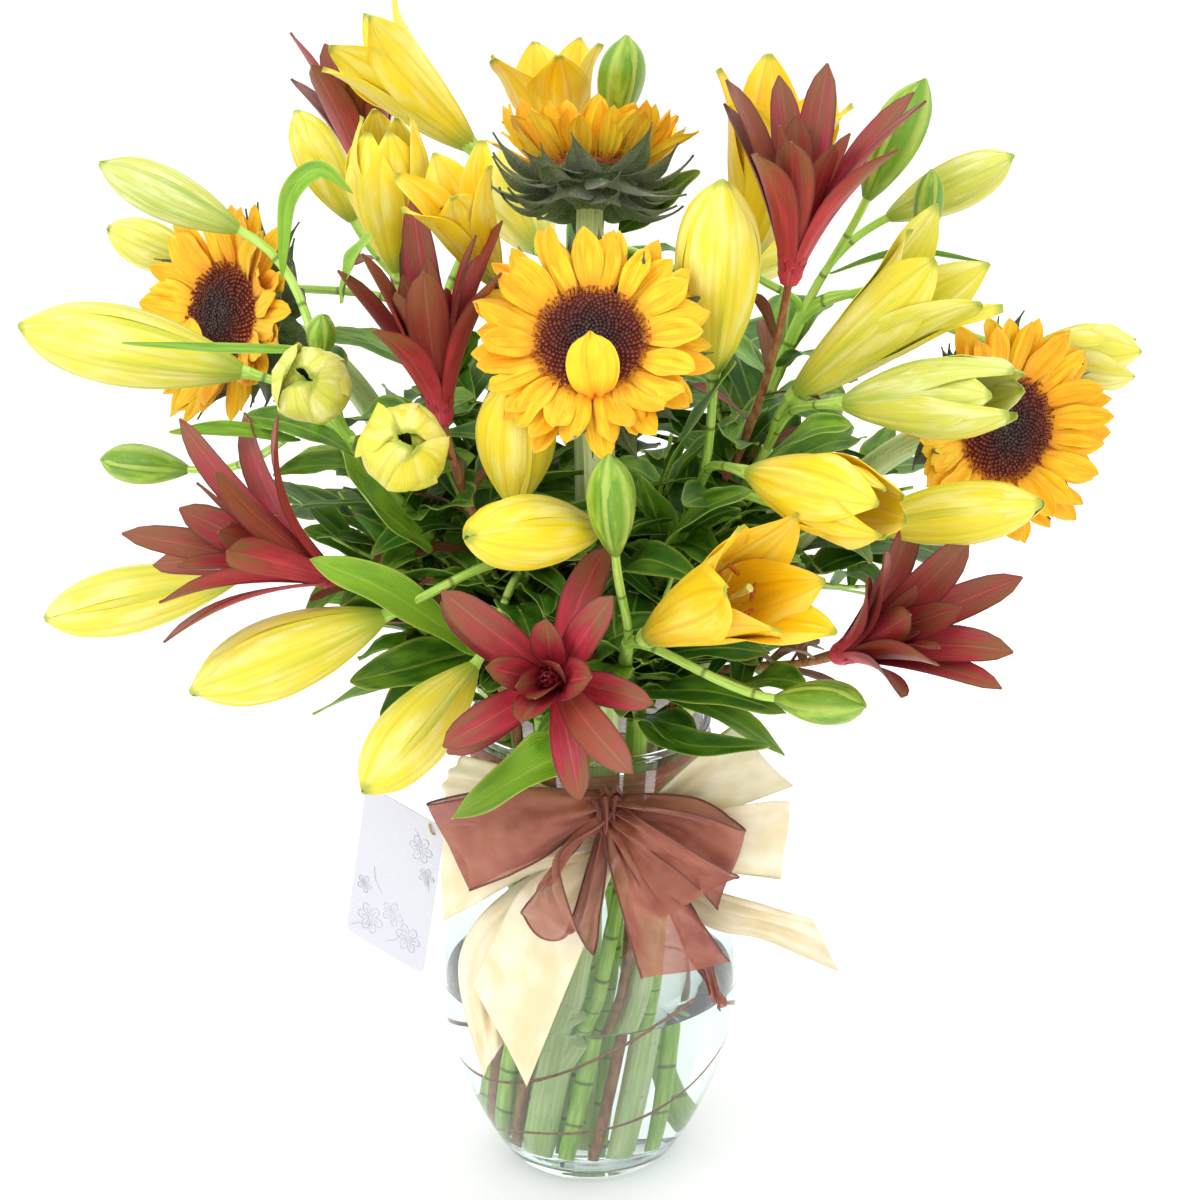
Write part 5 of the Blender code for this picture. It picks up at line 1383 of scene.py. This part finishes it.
def make_sunflower(name, looks, rays, floret, florets, hairs, down):
    place, direction, stem_radius, rises, folded = SUNFLOWERS[name]
    rng = random.Random(name)
    place, direction = from_mouth(place), Vector(direction).normalized()
    frame = facing(place, direction)
    make_rays(name, frame, rises, folded, rays)
    make_disc(name, frame, florets, floret)
    stem_name = name + "_stem"
    path, grown = stem_path(stem_name, place - direction * (CALYX_DEPTH * 0.6), direction)
    shape = Shape()
    shape.stalk(path, cut_end(stem_radius), 24, rng.random(), 0,
                lambda run, angle: 0.018 * math.cos(angle * 9) + 0.012 * math.sin(run * 90 + angle))
    if name == "sunflower_front":
        fork = path[5]
        way = Vector((0.45, -0.2, 0.85)).normalized()
        shape.stalk([fork - way * 0.006, fork + way * 0.012, fork + way * 0.026, fork + way * 0.028],
                    lambda s: stem_radius * (0.62 if s < 0.9 else 0.56), 16, 0.5, 0)
    make_calyx(shape, frame, stem_radius, rng, 1)
    table_leaves(shape, stem_name, grown, 2, rng, 0.3, 0.2)
    piece = shape.solid(stem_name + "_grown", looks, stem_name)
    fuzz = hairs.grown_on(piece.data.copy(), name + "_hairs", Seed=len(name))
    fuzz.materials.clear()
    fuzz.materials.append(down)
    add_piece(name + "_hairs", fuzz)


# Conebush


def make_conebush(name, looks):
    """A conebush: its stem and leaves, whorls of curved bracts and the scaly cone inside them."""
    base, direction, length, spread = CONEBUSHES[name]
    rng = random.Random(name)
    base, direction, length = from_mouth(base), Vector(direction).normalized(), length / 1000
    frame = facing(base, direction)
    shape = Shape()
    path, grown = stem_path(name, base + direction * 0.003, direction)
    shape.stalk(path, cut_end(CONEBUSH_STEM_RADIUS, 0.7), 12, 0.3, 2)
    for row, (count, share, opening, height, half) in enumerate(CONEBUSH_WHORLS):
        for k in range(count):
            angle = math.tau * (k + row * 0.5) / count + rng.uniform(-0.15, 0.15)
            lean = spread * opening * rng.uniform(0.8, 1.15)
            line = bowed(0.003, height, length * share * rng.uniform(1.0, 1.25), 90 - lean * 0.45,
                         90 - lean * rng.uniform(1.0, 1.5), 14)
            width = half * rng.uniform(0.85, 1.1)
            bladed(shape, frame, line, angle, width, CONEBUSH_BRACT, 0.65 / width,
                   lambda s, t: 0.0003 * math.exp(-((s / 0.1) ** 2)),
                   rng.uniform(0, 1) * (1 if row < 2 else 0.5), 0,
                   0.0011, drift=rng.uniform(-0.006, 0.006))
    rise = 0.42 * length
    for i in range(CONE_SCALE_COUNT):
        share = i / CONE_SCALE_COUNT
        angle, tall = i * GOLDEN_ANGLE, rise * share
        radius = 0.0075 * math.sin(math.pi * min(0.25 + 0.72 * share, 1.0)) + 0.0004
        line = bowed(radius * 0.8, tall, 0.0085, 60 + 25 * share, 100, 5)
        bladed(shape, frame, line, angle, 0.0032, SCALE, 120, None, rng.uniform(0, 1), 1, 0.0008, 5)
    core = [frame @ Vector((0, 0, z)) for z in (-0.004, 0, rise * 0.4, rise * 0.8, rise)]
    shape.stalk(core, lambda s: 0.0062 * math.sin(math.pi * (0.25 + 0.68 * s)), 12, 0.5, 1)
    for share, turn, rise_angle, size, width in STEM_LEAVES.get(name, []):
        stem_leaf(shape, grown, share, turn, rise_angle, size / 1000, width / 1000, rng)
    for i in range(8):
        stem_leaf(shape, grown, 0.45 + 0.06 * i, i * LEAF_TURN, rng.uniform(20, 65),
                  rng.uniform(0.030, 0.048),
                  rng.uniform(0.006, 0.010), rng)
    shape.solid(name + "_grown", looks, name)


def stem_leaf(shape, grown, share, direction, rise, length, width, rng):
    """A narrow, leathery conebush leaf."""
    points = leaf_line(grown, share, direction, rise, length, 0.3)
    shape.leaf(points, width, UP, rng.uniform(0, 1), 3, 0.5, 0.02, rng.uniform(-0.6, 0.6),
               steps=12, form=CONEBUSH_BRACT, count=7)


def make_vine(finish):
    """A thin brown vine coiled against the glass inside the vase."""
    points = []
    for i in range(120):
        share = i / 119
        turn = 360 * 1.35 * share + 200
        sway = 0.018 * math.cos(math.radians(turn - 10)) + 0.006 * math.sin(math.tau * 3.3 * share)
        height = FLOOR_THICKNESS + 0.026 + 0.062 * share + sway
        radius = vase_radius(height) - GLASS_WALL - 0.0029
        points.append(polar(radius, turn, height))
    shape = Shape()
    shape.stalk(points, lambda s: 0.0009 * (1 + 0.15 * math.sin(s * 90)), 8, 0.5, 0)
    shape.solid("vine_strand", [finish], "vine")


# Ribbons


def clear_of_glass(point):
    """The point, pushed straight out from the axis where it is too near the vase."""
    flat = Vector((point.x, point.y, 0))
    short = vase_radius(point.z) + RIBBON_GAP - flat.length
    return point + flat.normalized() * max(short, 0)


def cloth_strip(shape, middles, reaches, width, rng, thickness, pleats=3, stiff=1.0, count=21):
    """A ribbon along middles. Where its reach is less than half its width the spare cloth stands in
    pleats near the knot and in one soft fold further out."""
    steps = [2 * k / (count - 1) - 1 for k in range(count)]
    rings, along, run = [], [], 0.0
    side_phase, last = rng.uniform(0, 6), len(middles) - 1
    edges = ([], [])
    for i, (middle, reach) in enumerate(zip(middles, reaches)):
        run += (middle - middles[i - 1]).length if i else 0.0
        along.append(run)
        ahead = (middles[min(i + 1, last)] - middles[max(i - 1, 0)]).normalized()
        face = ahead.cross(reach).normalized()
        half = reach.length
        spare = math.sqrt(max((width / 2 / half) ** 2 - 1, 0.0) * 2)
        tight = min(max((width / 2 / half - 1.2) / 1.6, 0.0), 1.0)
        soft_height = half / math.pi * spare * (1 - tight) * 1.1 * stiff
        pleat_height = half / (math.pi * pleats) * spare * (0.35 + 0.65 * tight)
        over, under = [], []
        for s in steps:
            lift = soft_height * (math.cos(s * math.pi / 2) - 0.5)
            lift += pleat_height * math.cos(s * math.pi * pleats + side_phase)
            lift += 0.0012 * stiff * math.sin(run * 95 + s * 2.2 + side_phase) * (1 - 0.4 * s * s)
            point = middle + reach * s + face * lift
            over.append(point + face * thickness / 2)
            under.append(point - face * thickness / 2)
        edges[0].append(middle - reach + face * (over[0] - middle + reach).dot(face))
        edges[1].append(middle + reach + face * (over[-1] - middle - reach).dot(face))
        rings.append(over + under[::-1])
    shape.skin(rings, steps + steps[::-1], along, rng.random())
    return edges


def cloth_piece(shape, name, ribbon, node=None):
    """A finished stretch of ribbon."""
    width, finishes, slot_name, _ = ribbon
    piece = shape.solid(name, finishes, node, smooth_angle=70)


def make_runs(prefix, runs, ribbon, node, wired, stiff):
    """Every loop and tail of a bow. The first stands for the CAD ribbon."""
    width, _, _, thickness = ribbon
    for title, run in runs.items():
        rng = random.Random(prefix + title)
        middles = smooth([clear_of_glass(from_mouth(middle)) for middle, _ in run], 64)
        middles = middles[:7] + [clear_of_glass(middle) for middle in middles[7:]]
        reaches = smooth([metres(reach) for _, reach in run], 64)
        shape = Shape()
        edges = cloth_strip(shape, middles, reaches, width, rng, thickness, stiff=stiff)
        if wired:
            for edge in edges:
                shape.stalk(edge, lambda s: 0.00055, 6, 0.5, 1)
        cloth_piece(shape, prefix + "_" + title.replace(" ", "_"), ribbon, node)
        node = None


def make_band(name, band, ribbon, folds):
    """The turn of ribbon round the neck: gathered, so narrower than the ribbon, and lightly creased."""
    height, drop = band
    thickness = ribbon[3]
    rng = random.Random(name)
    shape = Shape()
    steps, count = 144, 25
    rings = []
    for k in range(steps + 1):
        turn = 360 * k / steps
        over, under = [], []
        for i in range(count):
            s = 2 * i / (count - 1) - 1
            level = VASE_HEIGHT - drop + height / 2 * s + 0.0012 * math.sin(math.radians(turn) * 2 + 1)
            crease = 0.0017 * math.cos(s * math.pi * folds + 0.5 * math.sin(math.radians(turn) * 3))
            crease += 0.0005 * math.sin(math.radians(turn) * 9 + s * 4)
            reach = vase_radius(level) + 0.0028 + crease
            over.append(polar(reach + thickness / 2, turn, level))
            under.append(polar(reach - thickness / 2, turn, level))
        rings.append(over + under[::-1])
    across = [2 * i / (count - 1) - 1 for i in range(count)]
    along = [math.radians(360 * k / steps) * NECK_RADIUS for k in range(steps + 1)]
    shape.skin(rings, across + across[::-1], along, rng.random())
    cloth_piece(shape, name, ribbon)


def make_knot(name, knot, size, ribbon):
    """The bow's middle: the same ribbon, gathered and wrapped over the loops' roots."""
    direction, drop, front = knot
    rng = random.Random(name)
    middle = polar(front - 0.004, direction, VASE_HEIGHT - drop)
    out, side = polar(1, direction, 0), polar(1, direction + 90, 0)
    tall, deep, reach = size
    middles, reaches = [], []
    for i in range(49):
        angle = math.tau * (i / 48) * 0.98 + 0.6
        middles.append(middle + out * (deep * math.sin(angle)) + Vector((0, 0, tall * math.cos(angle))))
        swell = 0.8 + 0.25 * math.cos(angle * 2)
        reaches.append((side + Vector((0, 0, 0.12 * math.sin(angle)))) * (reach * swell))
    shape = Shape()
    cloth_strip(shape, middles, reaches, ribbon[0], rng, ribbon[3])
    cloth_piece(shape, name, ribbon)


def make_ribbons():
    """Both ribbons: each is its width, finishes, slot and thickness."""
    satin = (SATIN_WIDTH, [satin_finish()], "satin_cream", SATIN_THICKNESS)
    looks = [organza_finish(), thread_finish("organza_edge", paint(96, 46, 34), paint(132, 70, 52), 0.4)]
    organza = (ORGANZA_WIDTH, looks, "organza_brown", ORGANZA_THICKNESS)
    make_runs("satin", SATIN_RUNS, satin, "satin_ribbon", False, 1.0)
    make_runs("organza", ORGANZA_RUNS, organza, "organza_ribbon", True, 1.3)
    make_band("satin_band", SATIN_BAND, satin, 4)
    make_band("organza_band", ORGANZA_BAND, organza, 3)
    make_knot("satin_knot", SATIN_KNOT, (0.008, 0.006, 0.009), satin)
    make_knot("organza_knot", ORGANZA_KNOT, (0.010, 0.007, 0.010), organza)


# Card


def card_frame():
    direction, beyond, drop = CARD_PLACE
    hang = Matrix.Translation(polar(BELLY_RADIUS + beyond, direction, VASE_HEIGHT - drop))
    turned = hang @ Matrix.Rotation(math.radians(CARD_TURN), 4, "Z")
    return turned @ Matrix.Rotation(math.radians(CARD_SWING), 4, "Y")


def drawn_flower(shape, frame, x, z, size, petals, rng, front):
    """An open blossom in thin pen lines: petal outlines, a vein in each and a small ring of dots."""
    for k in range(petals):
        angle = math.tau * k / petals + rng.uniform(-0.12, 0.12)
        outline = []
        for i in range(15):
            t = i / 14
            lean = (t - 0.5) * 1.15
            reach = size * (0.22 + 0.78 * math.sin(math.pi * t) ** 0.6)
            outline.append((x + reach * math.cos(angle + lean), z + reach * math.sin(angle + lean)))
        pen_line(shape, frame, outline, front)
        vein = [(x + size * r * math.cos(angle), z + size * r * math.sin(angle)) for r in (0.25, 0.45, 0.7)]
        pen_line(shape, frame, vein, front)
    ring = [(x + size * 0.16 * math.cos(a), z + size * 0.16 * math.sin(a))
            for a in (0, 1, 2, 3, 4, 5, 6.28)]
    pen_line(shape, frame, ring, front)


def pen_line(shape, frame, points, front, width=0.00022):
    line = smooth([frame @ Vector((x, front, z)) for x, z in points], len(points) * 3)
    shape.stalk(line, lambda s: width * (0.45 + 0.55 * math.sin(math.pi * s)), 5, 0.5, 0)


def card_sheet(frame):
    """The card itself, with rounded corners."""
    width, thickness, height = CARD_SIZE
    spin = frame.to_3x3()
    heights = [CARD_CORNER * (1 - math.cos(math.pi / 2 * i / 6)) for i in range(7)]
    heights += [height * i / 16 for i in range(1, 16)] + [height - h for h in reversed(heights)]
    stations = []
    for level in heights:
        near = min(level, height - level, CARD_CORNER)
        inset = CARD_CORNER - math.sqrt(max(CARD_CORNER ** 2 - (CARD_CORNER - near) ** 2, 0.0))
        middle = frame @ Vector((0, 0, level - height / 2))
        stations.append((middle, spin @ Vector((1, 0, 0)), spin @ Vector((0, -1, 0)), width / 2 - inset,
                         0.0, level / height))
    shape = Shape()
    shape.thin(stations, thickness, None, 0.5, 0, 15)
    shape.solid("gift_card", [card_finish()], "card", smooth_angle=30)


def card_drawing(frame):
    """Blossoms and stalks in pale grey lines on the card's front."""
    rng = random.Random("card drawing")
    drawing, front = Shape(), -CARD_SIZE[1] / 2 - CARD_INK_GAP
    for x, z, size, petals in CARD_FLOWERS:
        drawn_flower(drawing, frame, x, z, size, petals, rng, front)
    for points in CARD_STALKS:
        pen_line(drawing, frame, points, front)
    ink = plain_plant_finish("card_drawing_ink", paint(176, 178, 186), paint(206, 208, 214), 900)
    drawing.solid("card_drawing", [ink])


def card_cord(frame):
    """The gold cord from the hole in the card's corner to the vase's neck."""
    width, thickness, height = CARD_SIZE
    behind = thickness / 2 + CARD_TIE_RADIUS + CARD_TIE_GAP
    hole = frame @ Vector((width / 2 - CARD_HOLE_INSET, behind, height / 2 - CARD_HOLE_INSET))
    level = VASE_HEIGHT - CARD_TIE_DROP
    neck = polar(vase_radius(level) + CARD_TIE_RADIUS + CARD_TIE_GAP, CARD_PLACE[0], level)
    line = bend(hole, Vector((0.6, 0.5, 0.4)), neck, Vector((1, 0, -0.2)), 24)
    over = [frame @ Vector((width / 2 - CARD_HOLE_INSET + dx, dy, height / 2 - CARD_HOLE_INSET + dz))
            for dx, dy, dz in ((-0.0035, -0.0012, 0.0045), (-0.0015, -0.0016, 0.0012), (0.0, -0.0010, 0.0))]
    path = smooth(over + line, 60)
    tie = Shape()
    tie.stalk(path, lambda s: CARD_TIE_RADIUS * (1 + 0.1 * math.sin(s * 160)), 8, 0.5, 0)
    gold = thread_finish("gold_cord", paint(176, 146, 70), paint(226, 202, 128), 0.28, 0.8)
    piece = tie.solid("card_cord", [gold], "card_tie")


def make_card():
    """The gift card, its drawing and the cord that ties it on."""
    frame = card_frame()
    card_sheet(frame)
    card_drawing(frame)
    card_cord(frame)


# The studio


def aim(obj, target):
    obj.rotation_euler = (Vector(target) - obj.location).to_track_quat("-Z", "Y").to_euler()


def make_studio():
    """A pale floor and backdrop, broad soft lamps and the camera."""
    camera = show(bpy.data.objects.new("camera", bpy.data.cameras.new("camera")))
    camera.location = CAMERA_PLACE
    aim(camera, CAMERA_TARGET)
    camera.data.sensor_width = 36
    camera.data.lens = CAMERA_LENS
    bpy.context.scene.camera = camera
    for name, (place, size, power) in LAMPS.items():
        lamp = bpy.data.lights.new(name, "AREA")
        lamp.shape, lamp.size, lamp.energy = "SQUARE", size, power
        obj = show(bpy.data.objects.new(name, lamp))
        obj.location = place
        aim(obj, LAMP_TARGET)
    world = bpy.data.worlds.new("studio")
    world.use_nodes = True
    sky = world.node_tree.nodes["Background"].inputs
    sky["Color"].default_value = (1, 1, 1, 1)
    sky["Strength"].default_value = 1.0
    bpy.context.scene.world = world
    bpy.context.scene.view_settings.view_transform = "Standard"
    f = Finish("studio_floor", Emission_Strength=0.10)
    f.fill(f.shader, {"Emission Color": (1.0, 1.0, 1.0, 1.0)})
    spot = f.noise(f.object_space(), 6.0)
    f.done(f.mix(spot, paint(247, 247, 248), paint(250, 250, 251)), f.fade(spot, 0.3, 0.7, 0.65, 0.75),
           f.bump(spot, 0.0005, 0.1))
    mesh = bpy.data.meshes.new("studio_floor")
    reach, level = FLOOR_REACH, -FLOOR_GAP
    corners = [(-reach, -reach, level), (reach, -reach, level), (reach, reach, level),
               (-reach, reach, level)]
    mesh.from_pydata(corners, [], [(0, 1, 2, 3)])
    mesh.materials.append(f.material)
    show(bpy.data.objects.new("studio_floor", mesh))


def main():
    make_studio()
    make_vase()
    make_water()
    lily_stem, petal, bud_green = lily_stem_finish(), lily_petal_finish(), green_bud_finish()
    leaf_green = leaf_finish("lily_leaf", paint(54, 108, 24), paint(146, 198, 50), paint(192, 214, 96))
    pistil = plain_plant_finish("lily_filament", paint(196, 210, 110), paint(222, 226, 150), 500)
    anther = plain_plant_finish("lily_anther", paint(150, 74, 20), paint(196, 112, 36), 1400, 0.75)
    for key in LILY_BLOOMS:
        make_bloom(key, [petal, pistil, anther, lily_stem])
    for name in LILY_STEMS:
        make_lily_stem(name, [lily_stem, leaf_green, bud_green])
    make_single_leaves([leaf_green])
    floret = floret_finish()
    seed = floret_seed(floret)
    florets = floret_tree(floret, seed)
    down = plain_plant_finish("plant_down", paint(206, 214, 178), paint(232, 234, 212), 400, 0.7)
    hairs = hair_tree(down)
    broad = leaf_finish("sunflower_leaf", paint(48, 84, 30), paint(112, 146, 56), paint(160, 180, 100), 0.5)
    looks, rays = [sunflower_stem_finish(), calyx_finish(), broad], ray_finish()
    for name in SUNFLOWERS:
        make_sunflower(name, looks, rays, floret, florets, hairs, down)
    bpy.data.objects.remove(seed)
    conebush = [conebush_finish("conebush_bract", paint(222, 62, 86), paint(172, 50, 60),
                                paint(142, 90, 54)),
                conebush_finish("conebush_cone", paint(222, 66, 92), paint(196, 46, 70),
                                paint(176, 60, 66)),
                plain_plant_finish("conebush_stem", paint(150, 84, 58), paint(182, 132, 86), 300),
                conebush_finish("conebush_leaf", paint(120, 112, 58), paint(134, 84, 56),
                                paint(128, 60, 54))]
    for name in CONEBUSHES:
        make_conebush(name, conebush)
    make_vine(plain_plant_finish("vine_bark", paint(132, 76, 48), paint(176, 116, 76), 500, 0.6))
    make_ribbons()
    make_card()


main()
